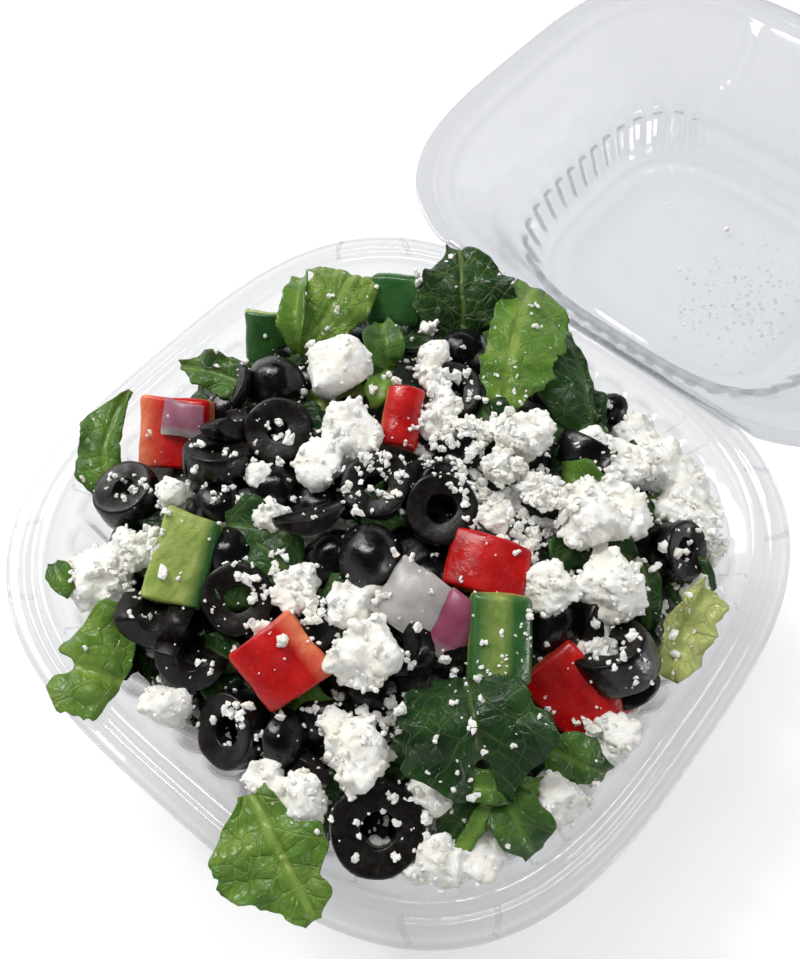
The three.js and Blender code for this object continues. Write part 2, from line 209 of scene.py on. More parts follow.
def copy_of(piece, matrix):
    twin = bpy.data.objects.new(piece.name, piece.data.copy())
    twin.data.transform(matrix)
    bpy.context.scene.collection.objects.link(twin)
    return twin


def throw_away(pieces):
    for piece in pieces:
        bpy.data.objects.remove(piece)


# ---- materials ---------------------------------------------------------------------
class Finish:
    """A material under construction: add() makes a node and links or sets its inputs."""

    def __init__(self, name):
        self.material = bpy.data.materials.new(name)
        self.material.use_nodes = True
        self.tree = self.material.node_tree
        self.tree.nodes.clear()
        self.output = self.tree.nodes.new("ShaderNodeOutputMaterial")

    def add(self, kind, inputs=None, **settings):
        node = self.tree.nodes.new(f"ShaderNode{kind}")
        for name, value in settings.items():
            setattr(node, name, value)
        for name, value in (inputs or {}).items():
            if isinstance(value, bpy.types.NodeSocket):
                self.tree.links.new(value, node.inputs[name])
            else:
                node.inputs[name].default_value = value
        return node

    def place(self):
        return self.add("TexCoord").outputs["Object"]

    def grain(self, size_mm, detail=3.0, roughness=0.5, at=None, scale=None):
        """Noise in lumps of about the given size, from 0 to 1."""
        where = at or self.place()
        inputs = {"Vector": where, "Scale": scale or 1 / (size_mm * MM)}
        inputs |= {"Detail": detail, "Roughness": roughness}
        return self.add("TexNoise", inputs).outputs["Fac"]

    def ramp(self, value, stops):
        node = self.add("ValToRGB", {"Fac": value})
        elements = node.color_ramp.elements
        while len(elements) < len(stops):
            elements.new(0.5)
        for element, (at, colour) in zip(elements, stops):
            element.position = at
            element.color = (*colour, 1)
        return node.outputs["Color"]

    def curve(self, value, low, high, to_low=0.0, to_high=1.0):
        inputs = {"Value": value, "From Min": low, "From Max": high}
        inputs |= {"To Min": to_low, "To Max": to_high}
        return self.add("MapRange", inputs).outputs["Result"]

    def mix(self, share, first, second, blend="MIX"):
        node = self.add("Mix", data_type="RGBA", blend_type=blend)
        for socket, value in zip((node.inputs[0], node.inputs[6], node.inputs[7]), (share, first, second)):
            if isinstance(value, bpy.types.NodeSocket):
                self.tree.links.new(value, socket)
            else:
                socket.default_value = value if isinstance(value, float) else (*value, 1)
        return node.outputs[2]

    def math(self, kind, first, second=0.5):
        node = self.add("Math", operation=kind)
        for socket, value in zip(node.inputs, (first, second)):
            if isinstance(value, bpy.types.NodeSocket):
                self.tree.links.new(value, socket)
            else:
                socket.default_value = value
        return node.outputs[0]

    def sheen_share(self, normal=None, least=0.04):
        """How much a smooth sheet mirrors, alike from both of its sides."""
        inputs = {"Blend": 0.5}
        if normal:
            inputs["Normal"] = normal
        slant = self.add("LayerWeight", inputs).outputs["Facing"]
        return self.math("ADD", self.math("MULTIPLY", self.math("POWER", slant, 5.0), 1 - least), least)

    def attribute(self, name):
        return self.add("Attribute", attribute_name=name).outputs["Fac"]

    def bump(self, height, depth_mm, strength=1.0):
        inputs = {"Height": height, "Distance": depth_mm * MM, "Strength": strength}
        return self.add("Bump", inputs).outputs["Normal"]

    def done(self, shader):
        self.tree.links.new(shader.outputs[0], self.output.inputs["Surface"])
        return self.material


def clear_plastic(name, clear, aslant, haze, aslant_haze):
    """Clear sheet, greyer where it is seen aslant, because more of it is looked through, and a little hazier along
    its bends, where it also carries painted shade: a darker tint for the dark lines its folds show.
    """
    f = Finish(name)
    waves = f.bump(f.grain(7, 1), 0.25, 0.4)
    slant = f.add("LayerWeight", {"Blend": 0.5}).outputs["Facing"]
    depth = f.math("POWER", slant, 4.0)
    uneven = f.curve(f.grain(9, 2), 0.3, 0.7, -0.012, 0.012)
    bend = f.attribute("bend")
    cloudy = f.math("ADD", f.curve(depth, 0, 1, haze, aslant_haze), f.math("MULTIPLY", bend, 0.04))
    tint = f.mix(depth, clear, aslant)
    # Painted shade: the tint darkens where the sheet bends, for the dark lines along its folds.
    tint = f.mix(f.math("MULTIPLY", bend, 0.55), tint, tuple(0.82 * c for c in clear))
    through = f.add("BsdfTransparent", {"Color": tint})
    fog = (0.74, 0.75, 0.77, 1)
    near_fog = f.add("BsdfDiffuse", {"Color": fog})
    far_fog = f.add("BsdfTranslucent", {"Color": fog})
    cloud = f.add("MixShader", {"Fac": 0.5, 1: near_fog.outputs[0], 2: far_fog.outputs[0]})
    hazy = {"Fac": f.math("ADD", cloudy, uneven), 1: through.outputs[0], 2: cloud.outputs[0]}
    body = f.add("MixShader", hazy)
    gloss = f.add("BsdfGlossy", {"Roughness": 0.07, "Normal": waves})
    mirrored = f.math("MINIMUM", f.sheen_share(waves, 0.05), 0.35)
    seen = f.add("MixShader", {"Fac": mirrored, 1: body.outputs[0], 2: gloss.outputs[0]})
    shade = f.add("BsdfTransparent", {"Color": (0.975, 0.98, 0.985, 1)})
    shadow = f.add("LightPath").outputs["Is Shadow Ray"]
    return f.done(f.add("MixShader", {"Fac": shadow, 1: seen.outputs[0], 2: shade.outputs[0]}))


def water():
    f = Finish("condensation")
    slant = f.add("LayerWeight", {"Blend": 0.5}).outputs["Facing"]
    # Painted shade: a drop darkens towards its rim, where it is seen aslant, for the dark edge that a drop of
    # water shows.
    tint = f.mix(f.math("POWER", slant, 1.5), (0.98, 0.985, 0.99), (0.62, 0.65, 0.70))
    through = f.add("BsdfTransparent", {"Color": tint})
    gloss = f.add("BsdfGlossy", {"Roughness": 0.05})
    drop = {"Fac": f.sheen_share(least=0.06), 1: through.outputs[0], 2: gloss.outputs[0]}
    return f.done(f.add("MixShader", drop))


def olive_finish():
    f = Finish("black_olive")
    flesh = f.attribute("flesh")
    skin = f.ramp(f.grain(3.5), [(0.35, (0.0015, 0.0015, 0.002)), (0.7, (0.005, 0.004, 0.005))])
    stops = [(0.30, (0.003, 0.002, 0.002)), (0.58, (0.010, 0.008, 0.007)), (0.75, (0.036, 0.024, 0.017))]
    cut = f.ramp(f.grain(1.3, 5, 0.6), stops)
    wrinkles = f.add("MapRange", {"Value": f.grain(1.6, 5, 0.55), "From Min": 0.35, "From Max": 0.65})
    relief = f.bump(wrinkles.outputs["Result"], 0.10, 0.45)
    fine = f.bump(f.grain(0.35, 3), 0.04, 0.3)
    f.tree.links.new(relief, fine.node.inputs["Normal"])
    wet = f.curve(f.grain(2.2, 4), 0.38, 0.62, 0.12, 0.30)
    shader = {"Base Color": f.mix(flesh, skin, cut), "Normal": fine}
    shader["Roughness"] = f.math("ADD", wet, f.math("MULTIPLY", flesh, 0.16))
    shader["Specular IOR Level"] = f.curve(flesh, 0, 1, 0.45, 0.28)
    return f.done(f.add("BsdfPrincipled", shader))


def feta_finish():
    f = Finish("crumbled_feta")
    tone = f.ramp(f.grain(4.5, 5), [(0.30, (0.83, 0.80, 0.71)), (0.55, (0.93, 0.918, 0.875))])
    cells = f.add("TexVoronoi", {"Vector": f.place(), "Scale": 1 / (0.8 * MM)}, feature="F1")
    rubble = f.math("MULTIPLY", cells.outputs["Distance"], -0.7)
    chips = f.add("TexVoronoi", {"Vector": f.place(), "Scale": 1 / (1.3 * MM)}, feature="F1")
    ledges = f.math("ADD", f.math("MULTIPLY", chips.outputs["Color"], 0.6), rubble)
    relief = f.bump(f.math("ADD", ledges, f.grain(0.4, 5, 0.75)), 0.26, 0.65)
    shader = {"Base Color": tone, "Roughness": 0.9, "Normal": relief}
    shader |= {"Subsurface Weight": 0.18, "Subsurface Scale": 0.0007}
    shader |= {"Subsurface Radius": (1.0, 0.85, 0.6), "Specular IOR Level": 0.12}
    return f.done(f.add("BsdfPrincipled", shader))


def pepper_finish(name, skins, fleshes):
    f = Finish(name)
    skin_share = f.attribute("skin")
    skin = f.ramp(f.grain(5, 5), [(0.32, skins[0]), (0.66, skins[1])])
    streaks = f.add("Mapping", {"Vector": f.place(), "Scale": (1.0, 0.35, 1.0)}).outputs[0]
    wet_flesh = f.grain(1.8, 6, 0.65, at=streaks)
    flesh = f.ramp(wet_flesh, [(0.30, fleshes[0]), (0.62, fleshes[1]), (0.80, fleshes[2])])
    specks = f.curve(f.grain(0.5, 2), 0.68, 0.74, 0, 0.4)
    skin = f.mix(specks, skin, fleshes[1])
    coarse = f.bump(f.grain(2.4, 3), 0.5, f.curve(skin_share, 0, 1, 0.5, 0.35))
    relief = f.bump(f.grain(0.6, 5), 0.10, f.curve(skin_share, 0, 1, 0.6, 0.12))
    f.tree.links.new(coarse, relief.node.inputs["Normal"])
    shader = {"Base Color": f.mix(skin_share, flesh, skin), "Normal": relief}
    wet = f.curve(f.grain(3, 4), 0.35, 0.65, 0.16, 0.34)
    shader["Roughness"] = f.math("ADD", wet, f.curve(skin_share, 0, 1, 0.10, 0))
    shader |= {"Subsurface Weight": 0.12, "Subsurface Scale": 0.0012}
    shader |= {"Subsurface Radius": (1.0, 0.4, 0.15), "Specular IOR Level": 0.42}
    return f.done(f.add("BsdfPrincipled", shader))


def onion_finish():
    f = Finish("red_onion")
    purple = f.attribute("purple")
    stretched = f.add("Mapping", {"Vector": f.place(), "Scale": (1.0, 0.2, 1.0)}).outputs[0]
    fibre = f.grain(1.2, 4, 0.6, at=stretched)
    cloud = f.grain(5, 3)
    white = f.ramp(cloud, [(0.30, (0.32, 0.30, 0.28)), (0.70, (0.50, 0.475, 0.455))])
    dark = f.ramp(cloud, [(0.30, (0.22, 0.030, 0.085)), (0.70, (0.34, 0.085, 0.155))])
    pale_lines = f.math("MULTIPLY", fibre, f.curve(purple, 0, 1, 0.22, 0.05))
    colour = f.mix(pale_lines, f.mix(purple, white, dark), (0.62, 0.58, 0.56))
    shader = {"Base Color": colour, "Roughness": 0.26, "IOR": 1.36}
    shader |= {"Subsurface Weight": 0.4, "Subsurface Scale": 0.002, "Transmission Weight": 0.06}
    shader["Normal"] = f.bump(fibre, 0.08, 0.35)
    return f.done(f.add("BsdfPrincipled", shader))


def lettuce_finish():
    """Veins and colour follow each leaf's own map, in which 1 is 20 mm on the leaf."""
    f = Finish("romaine_lettuce")
    uv = f.add("UVMap").outputs["UV"]
    split = f.add("SeparateXYZ", {"Vector": uv})
    along, across = split.outputs["X"], split.outputs["Y"]
    pale, veined = f.attribute("pale"), f.attribute("veined")
    wobble = f.curve(f.grain(1, 2, at=uv, scale=3.5), 0, 1, -0.5, 0.5)
    out = f.math("ABSOLUTE", f.math("ADD", across, f.math("MULTIPLY", wobble, 0.07)))
    rank = f.math("ADD", f.math("MULTIPLY", along, 3.0), f.math("MULTIPLY", wobble, 0.5))
    rank = f.math("SUBTRACT", rank, f.math("MULTIPLY", out, 2.6))
    thin = f.curve(out, 0.0, 0.5, 0.055, 0.025)
    gap = f.math("DIVIDE", f.math("PINGPONG", rank, 0.5), thin)
    side = f.curve(gap, 0.4, 1.3, 1, 0)
    rib_width = f.curve(pale, 0.4, 1.0, 0.030, 0.085)
    rib = f.curve(f.math("DIVIDE", out, rib_width), 0.45, 1.2, 1, 0)
    stir = f.add("TexNoise", {"Vector": uv, "Scale": 6.0}).outputs["Color"]
    stirred = {0: stir, 1: (0.06, 0.06, 0.06), 2: uv}
    warped = f.add("VectorMath", stirred, operation="MULTIPLY_ADD")
    cells = f.add("TexVoronoi", {"Vector": warped.outputs[0], "Scale": 5.0}, feature="DISTANCE_TO_EDGE")
    small = f.add("TexVoronoi", {"Vector": warped.outputs[0], "Scale": 13.0}, feature="DISTANCE_TO_EDGE")
    far = cells.outputs["Distance"]
    net = f.math("MULTIPLY", f.curve(far, 0.0, 0.05, 1, 0), f.curve(f.grain(7, 2), 0.35, 0.65, 0.25, 0.8))
    mesh = f.math("MULTIPLY", f.curve(small.outputs["Distance"], 0.0, 0.07, 1, 0), 0.2)
    veins = f.math("MAXIMUM", f.math("MULTIPLY", rib, 0.75), f.math("MULTIPLY", side, 0.6))
    veins = f.math("MAXIMUM", veins, f.math("MAXIMUM", net, mesh))
    shade = f.math("ADD", pale, f.curve(f.grain(6, 4), 0.3, 0.7, -0.10, 0.10))
    stops = [(0.0, (0.007, 0.026, 0.008)), (0.3, (0.028, 0.082, 0.018))]
    stops += [(0.6, (0.115, 0.250, 0.030)), (0.8, (0.23, 0.36, 0.055)), (1.0, (0.58, 0.62, 0.22))]
    blade = f.ramp(shade, stops)
    light = f.mix(0.36, blade, (0.44, 0.55, 0.16))
    colour = f.mix(f.math("MULTIPLY", veins, veined), blade, light)
    milky = f.math("MULTIPLY", f.curve(f.grain(5, 5, 0.7), 0.58, 0.72, 0, 0.30), pale)
    colour = f.mix(milky, colour, (0.50, 0.56, 0.40))
    puffed = f.math("SUBTRACT", f.math("MULTIPLY", far, 2.2), f.math("MULTIPLY", veins, 0.8))
    relief = f.bump(puffed, 0.75, f.curve(veined, 0.2, 0.7, 0.22, 0.75))
    fine = f.bump(f.grain(0.5, 3), 0.05, 0.3)
    f.tree.links.new(relief, fine.node.inputs["Normal"])
    wet = f.curve(f.grain(4, 3), 0.4, 0.6, 0.38, 0.20)
    shader = {"Base Color": colour, "Roughness": wet, "Normal": fine}
    shader["Specular IOR Level"] = f.curve(pale, 0.1, 0.6, 0.24, 0.38)
    solid = f.add("BsdfPrincipled", shader)
    glow = f.add("BsdfTranslucent", {"Color": f.mix(0.4, colour, (0.24, 0.38, 0.02))})
    share = f.curve(pale, 0, 1, 0.10, 0.32)
    return f.done(f.add("MixShader", {"Fac": share, 1: solid.outputs[0], 2: glow.outputs[0]}))


def core_painted_shade_finish():
    f = Finish("packed_salad_painted_shade")
    # Painted shade: the packed salad's dark greens are made darker than any leaf, standing in for the shade deep
    # in the gaps between the pieces.
    stops = [(0.40, (0.004, 0.006, 0.004)), (0.7, (0.016, 0.032, 0.009))]
    colour = f.ramp(f.grain(5, 5), stops)
    shader = {"Base Color": colour, "Roughness": 0.5, "Normal": f.bump(f.grain(3, 5), 1.2)}
    return f.done(f.add("BsdfPrincipled", shader))


def table_finish():
    f = Finish("pale_table")
    tone = f.ramp(f.grain(60, 2), [(0.3, (0.60, 0.60, 0.60)), (0.7, (0.62, 0.62, 0.62))])
    shader = {"Base Color": tone, "Roughness": 0.7, "Emission Color": (1, 1, 1, 1)}
    return f.done(f.add("BsdfPrincipled", shader | {"Emission Strength": 0.46}))


# ---- the box -----------------------------------------------------------------------
def scallop(t):
    """A flute of the tray: a half round that bulges outwards between sharp cusps."""
    return np.sqrt(np.clip(1 - (2 * t - 1) ** 2, 0, 1)) - 0.5


def pillar(t):
    """A flute of the lid: a flat-topped rib about half a pitch wide, standing outwards."""
    return smooth_step(0.20, 0.32, t) * smooth_step(0.80, 0.68, t) - 0.15


def mark_bend_shade(shell, share):
    """Notes how sharply the sheet bends at each point, from 0 on the flat up to a share, which the clear finish
    turns into painted shade along the folds.
    """
    mesh = shell.data
    points, normals = points_of(mesh), normals_of(mesh)
    ends = np.empty(2 * len(mesh.edges), int)
    mesh.edges.foreach_get("vertices", ends)
    first, second = ends.reshape(-1, 2).T
    apart = np.linalg.norm(points[first] - points[second], axis=1)
    turn = np.arccos(np.clip((normals[first] * normals[second]).sum(axis=1), -1, 1))
    rate = turn / np.maximum(apart, 0.3)
    bend = np.zeros(len(points))
    np.maximum.at(bend, first, rate)
    np.maximum.at(bend, second, rate)
    set_attribute(mesh, "bend", share * (1 - np.exp(-bend / 0.7)))


def arc_rows(half, z, radius, start, end, steps):
    """Rows along an arc in the wall's section, with its angles in degrees."""
    turns = np.radians(np.linspace(start, end, steps))
    return [(half + radius * math.cos(a), z + radius * math.sin(a), 0) for a in turns]


def slope_rows(first, last, steps):
    """Rows evenly spaced on the straight from one row to another, without the first."""
    shares = np.linspace(0, 1, steps + 1)[1:]
    return [tuple(np.array(first) * (1 - t) + np.array(last) * t) for t in shares]


def moulded_shell(name, rows, power, wave, depth, back, plain=None, shape=None):
    """A sheet through rows of (half width, height, share of a flute), given a thickness.

    plain tells how much of its flutes the sheet loses at each angle.
    """
    count = FLUTES * STEPS_PER_FLUTE
    step = np.arange(count)
    angle = 2 * np.pi * step / count
    ripple = depth * wave((step % STEPS_PER_FLUTE) / STEPS_PER_FLUTE)
    if plain:
        ripple *= 1 - plain(angle)
    points, faces = [], []
    for half, z, share in rows:
        r = outline_radius(angle, half, power) + share * ripple
        x, y, height = r * np.cos(angle), r * np.sin(angle), np.full(count, z)
        if shape:
            x, y, height = shape(x, y, height)
        points += list(zip(x, np.minimum(y, back), height))
    for k in range(len(rows) - 1):
        for i in range(count):
            j = (i + 1) % count
            faces.append((k * count + i, (k + 1) * count + i, (k + 1) * count + j, k * count + j))
    middle = len(points)
    points.append((0, 0, rows[0][1]))
    faces += [(middle, i, (i + 1) % count) for i in range(count)]
    shell = piece_from(name, points, faces)
    return finish_with(shell, "SOLIDIFY", thickness=SHEET, offset=-1)


def rim_rows(bead_inner):
    """The rim's two beads, a larger and a smaller, and the flange out to its rolled edge."""
    rows = arc_rows(bead_inner + 1.6, RIM_Z - 1.0, 1.6, 165, 20, 10)
    rows += arc_rows(bead_inner + 4.7, RIM_Z - 0.85, 1.0, 150, 20, 8)
    rows += slope_rows(rows[-1], (FLANGE_HALF - 0.7, FLANGE_Z, 0), 3)
    return rows + [(FLANGE_HALF - 0.2, FLANGE_Z - 0.2, 0), (FLANGE_HALF, FLANGE_Z - 0.6, 0)]


def make_tray(finish):
    rows = [(share * 48, SHEET, 0) for share in (0.25, 0.5, 0.75, 1)]
    rows += arc_rows(49, 4.5, 4.0, -90, -25, 6)
    rows += [(54.3, 4.6, 0.0), (54.8, 5.6, 0.7), (55.3, 6.6, 1.0)]
    rows += slope_rows(rows[-1], (62.2, 35.8, 1.0), 8)
    rows += [(62.7, 36.5, 0.95), (63.4, 36.9, 0.4), (64.2, 37.1, 0)]
    rows += slope_rows(rows[-1], (66.6, 38.7, 0), 2)
    rows += rim_rows(BEAD_HALF - 0.8)
    back = HINGE_Y - HINGE_GAP
    shell = moulded_shell("tray_shell", rows, CORNER_POWER, scallop, SCALLOP_DEPTH, back)
    mark_bend_shade(shell, 1.0)
    parts = [shell, *corner_ribs(), *edge_lugs()]
    tray = joined("clear_tray", parts, finish, "box")
    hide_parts("tray")
    return tray


def rib_along(name, points, radius):
    """A thin rounded rib along a path, as a closed tube with six sides."""
    path = [Vector(p) for p in points]
    sides = 6
    ring_points, faces = [], []
    for k, p in enumerate(path):
        ahead = (path[min(k + 1, len(path) - 1)] - path[max(k - 1, 0)]).normalized()
        side = ahead.cross(Vector((0, 0, 1))).normalized()
        up = side.cross(ahead)
        for i in range(sides):
            a = 2 * math.pi * i / sides
            ring_points.append(p + radius * (math.cos(a) * side + math.sin(a) * up))
    for k in range(len(path) - 1):
        for i in range(sides):
            j = (i + 1) % sides
            faces.append((k * sides + i, k * sides + j, (k + 1) * sides + j, (k + 1) * sides + i))
    faces.append(tuple(reversed(range(sides))))
    faces.append(tuple(range(len(ring_points) - sides, len(ring_points))))
    return piece_from(name, ring_points, faces)


CORNER_RIB_SPREAD = 6.5  # degrees to either side of a corner's diagonal


def corner_ribs():
    """Two curved ribs cross the flange at each corner."""
    ribs = []
    for corner in (45, 135, 225, 315):
        for side in (-1, 1):
            path = []
            for t in np.linspace(0, 1, 7):
                half = BEAD_HALF + 2.5 + t * (FLANGE_HALF - BEAD_HALF - 3.1)
                turn = math.radians(corner + side * (CORNER_RIB_SPREAD - 1.2 * t * t))
                r = outline_radius(turn, half, CORNER_POWER)
                path.append((r * math.cos(turn), r * math.sin(turn), FLANGE_Z + 0.05))
            ribs.append(rib_along("rib", path, 0.6))
    return ribs


def edge_lugs():
    """Small bent lugs stand on the mouth's slope either side of the front corners."""
    lugs = []
    for corner in (45, 225, 315):
        for offset in (-19, -13, 13, 19):
            turn = math.radians(corner + offset)
            inner, outer = (outline_radius(turn, h, CORNER_POWER) for h in (62.6, 67.2))
            heading = Vector((math.cos(turn), math.sin(turn), 0))
            along = Vector((-math.sin(turn), math.cos(turn), 0)) * math.copysign(2.2, offset)
            a = heading * inner + Vector((0, 0, 36.6))
            b = heading * outer + Vector((0, 0, 39.2))
            lugs.append(rib_along("lug", [a, a * 0.5 + b * 0.5, b, b + along * 0.5], 0.28))
    return lugs


def lid_lean():
    """The open lid leans back until the far edge of its top panel meets the table."""
    reach = HINGE_Y + LID_PANEL_HALF + 0.8
    drop = LID_DEPTH + 0.8
    return math.atan2(drop, reach) - math.asin((FLANGE_Z - FLOOR_CLEARANCE) / math.hypot(reach, drop))


def lid_place():
    lean = Matrix.Rotation(lid_lean(), 4, "X")
    turned = Matrix.Rotation(math.pi, 4, "Z")
    return Matrix.Translation((0, HINGE_Y, FLANGE_Z)) @ lean @ Matrix.Translation((0, HINGE_Y, 0)) @ turned


# The thumb recess in the lid's far wall: its half width at heights below the lid's rim
RECESS_HEIGHTS = (-33.0, -27.7, -20.2, -13.3, -5.6, 0.0)
RECESS_HALVES = (37.0, 34.2, 31.5, 26.3, 27.5, 33.0)
RECESS_DEPTH = 2.6


def thumb_recess(x, y, z):
    """Presses the middle of the lid's far wall in, between two curving shoulders."""
    half = np.interp(z, RECESS_HEIGHTS, RECESS_HALVES)
    share = smooth_step(half + 3.0, half - 3.0, np.abs(x))
    band = smooth_step(-LID_DEPTH + 5, -LID_DEPTH + 12, z) * smooth_step(-1.3, -4, z)
    return x, y + RECESS_DEPTH * share * band * (y < 0), z


def recess_share(angle):
    """1 across the middle of the lid's far wall, where the thumb recess takes the flutes' place."""
    return smooth_step(0.62, 0.54, np.abs(angle - 1.5 * np.pi))


def make_lid(finish):
    floor = -LID_DEPTH
    rows = [(share * 33, floor, 0) for share in (0.25, 0.5, 0.75, 1)]
    rows += [(33.6, floor + 0.35, 0), (34.2, floor, 0), (37.2, floor, 0)]
    rows += arc_rows(38.4, floor + 1.6, 1.6, -80, -25, 4)
    rows += [(40.6, floor + 1.6, 0), (41.7, floor + 3.6, 0), (42.1, floor + 4.2, 0.9), (42.4, floor + 4.8, 1)]
    rows += slope_rows(rows[-1], (45.6, floor + 10.8, 1.0), 4)
    rows += [(45.9, floor + 11.4, 0.9), (46.3, floor + 12.0, 0), (48.9, floor + 14.3, 0)]
    rows += slope_rows(rows[-1], (57, -11, 0), 6)
    rows += slope_rows(rows[-1], (66.2, -1.6, 0), 7)
    rows += [(66.9, -1.25, 0), (68.6, -1.2, 0), (70.4, -1.2, 0), (71.0, -0.9, 0), (71.5, -0.1, 0)]
    rows += [(72.0, 0, 0), (74.8, 0, 0), (75.3, -0.2, 0), (FLANGE_HALF, -0.6, 0)]
    back = HINGE_Y - HINGE_GAP
    shell = moulded_shell("lid_shell", rows, LID_POWER, pillar, FLUTE_DEPTH, back, recess_share, thumb_recess)
    mark_bend_shade(shell, 0.55)
    shell.data.transform(lid_place())
    lid = joined("clear_lid", [shell], finish, "lid")
    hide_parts("lid")
    return lid


def make_hinge(finish):
    """The living hinge: a creased web between the two flanges."""
    web = lay("grid", x_subdivisions=40, y_subdivisions=12, size=1, location=(0, 0, 0))
    p = points_of(web.data)
    across = 3.4 * p[:, 1]
    crease = 0.28 * np.exp(-((across / 0.35) ** 2))
    move_points(web.data, np.c_[82 * p[:, 0], HINGE_Y + across, FLANGE_Z + 0.12 - crease])
    finish_with(web, "SOLIDIFY", thickness=0.25, offset=0)
    web = joined("living_hinge", [web], finish, "box")
    web.parent = None
    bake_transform(web)
    return web


def make_droplets(finish):
    """Condensation beads on the inside of the lid's top panel."""
    draw = random.Random(5)
    bead = lay("uv_sphere", segments=8, ring_count=5, radius=1)
    beads = []
    place = lid_place()
    for _ in range(420):
        x, y = draw.gauss(-18, 10), draw.gauss(3, 15)
        if max(abs(x), abs(y)) > 32:
            continue
        r = 0.18 + 0.36 * draw.random() ** 3
        local = Matrix.Translation((x, y, -LID_DEPTH + 0.1 * r)) @ Matrix.Diagonal((r, r, 0.6 * r, 1))
        beads.append(copy_of(bead, place @ local))
    throw_away([bead])
    return joined("lid_droplets", beads, finish, "lid")


LID_SPECKS = [(1.9, -18.7, 1.1), (4.0, 4.7, 0.7), (20.6, -16.2, 0.6), (-26, -24, 0.9), (-8, 22, 0.5)]


def make_lid_specks(finish):
    """A few crumbs stuck to the inside of the lid's top panel."""
    draw = random.Random(8)
    form, faces = ball_form(1)
    specks = Gathering()
    for x, y, size in LID_SPECKS:
        at = lid_place() @ Vector((x, y, -LID_DEPTH + 0.3 * size))
        specks.add(crumb_form(form, draw, size) + np.array(at), faces)
    return joined("lid_specks", [specks.piece("specks")], finish, "lid")


# ---- where food lies ---------------------------------------------------------------
WALL_HEIGHTS = [0, 1.4, 3.0, 7.0, 36.0, 38.8, 41.5, 44.0]
WALL_HALVES = [48.0, 48.6, 51.2, 53.6, 60.2, 65.0, 66.2, 70.0]
OVER_RIM = 41.3


def pressed(points, drapes=False):
    """Food squashes against the tray's inside; a leaf may also drape over its rim."""
    x, y, z = np.asarray(points, float).T.copy()
    half = squareness(x, y)
    over = np.full(len(x), False)
    if drapes:
        over = (half > 65.0) & (z > 37.0)
        lowest = np.where(half > 71.5, FLANGE_Z + 0.6, OVER_RIM)
        z = np.where(over, np.maximum(z, lowest), z)
    wall = np.interp(z, WALL_HEIGHTS, WALL_HALVES, right=99.0)
    shrink = np.where((half > wall) & ~over, wall / np.maximum(half, 1e-6), 1)
    return np.c_[x * shrink, y * shrink, np.maximum(z, 1.4)]


def seat(x, y, rise=0.0, lean=0.0, toward=0.0, spin=0.0):
    """Where a piece lies: leant from the vertical towards a compass angle, and spun."""
    away = math.radians(toward)
    turn = Quaternion((-math.sin(away), math.cos(away), 0), math.radians(lean))
    turn = turn @ Quaternion((0, 0, 1), math.radians(spin))
    height = float(core_height(x, y)) + rise - SETTLE
    return Matrix.Translation((x, y, height)) @ turn.to_matrix().to_4x4()


# ---- olives ------------------------------------------------------------------------
OLIVE_HOLE = 0.36
OLIVE_SLICES = [
    # x, y, rise, lean, toward, radius, height
    (-49, -34, 7.5, 14, 200, 6.9, 8.5),
    (-31, -5, 5, 24, -60, 7.2, 6.5),
    (-37, -18, 6, 28, 126, 7.0, 7.5),
    (-5, -4, 5, 14, -54, 7.2, 7.0),
    (-12, -38, 4, 20, -54, 7.4, 6.5),
    (3, -56, 6, 42, -110, 7.3, 8.0),
    (36.5, -53, 9.5, 24, -54, 9.0, 7.0),
    (52.4, 1, 10, 44, 172, 8.0, 9.0),
    (49, 32, 6, 38, 10, 6.3, 6.0),
    (8, 1, 4, 22, -54, 7.4, 7.5),
    (-9, 27, 4, 12, -54, 6.4, 6.0),
]
OLIVE_ENDS = [
    (-41, 5, 8.5, 16, 90, 7.5, 9.5),
    (5, -17, 7, 20, -30, 7.4, 8.5),
    (-30, -59, 6, 60, 200, 7.0, 7.0),
    (-21, -51, 6, 34, -54, 7.2, 8.0),
    (-11, -55, 6, 46, -54, 6.8, 8.0),
    (-19, -31, 3, 40, 20, 6.4, 7.0),
    (-29, -26, 3, 30, -54, 6.4, 7.0),
    (35, 31, 4, 50, 40, 6.4, 8.0),
    (16, 60, 4, 30, 90, 4.6, 6.0),
    (40, -3, 2, 70, -54, 6.6, 6.0),
    (-4, -21, 2, 30, -120, 6.8, 7.0),
    (14, -51, 5, 64, 20, 6.4, 6.0),
    (-48, -5, 4, 20, -54, 6.0, 7.0),
    (-15, 37, 7, 30, -100, 6.2, 8.0),
    (-46, 45, 2.5, 20, 135, 6.2, 7.0),
    (-31, 53, 2.5, 30, 110, 6.0, 7.0),
]


OLIVE_BITS = [
    # kind, x, y, rise, lean, toward, spin, radius, height
    ("wedge", -47, -4.4, 11, 100, 126, 90, 5.0, 5.4),
    ("wedge", -13.2, -16.6, 10, 96, 60, 90, 5.4, 6.0),
    ("wedge", 16.6, -52.6, 9, 80, 10, 80, 5.6, 6.0),
    ("half", -22.5, -51, 10, 62, -54, 216, 7.6, 9.0),
    ("half", -27, -57, 7, 50, 200, 100, 7.0, 7.0),
    ("half", -12, -53, 8, 50, -54, 200, 7.2, 8.0),
    ("half", -40, -10, 8, 50, 20, 260, 6.6, 7.0),
    ("half", 44, 6, 5, 40, 0, 90, 6.4, 7.0),
]


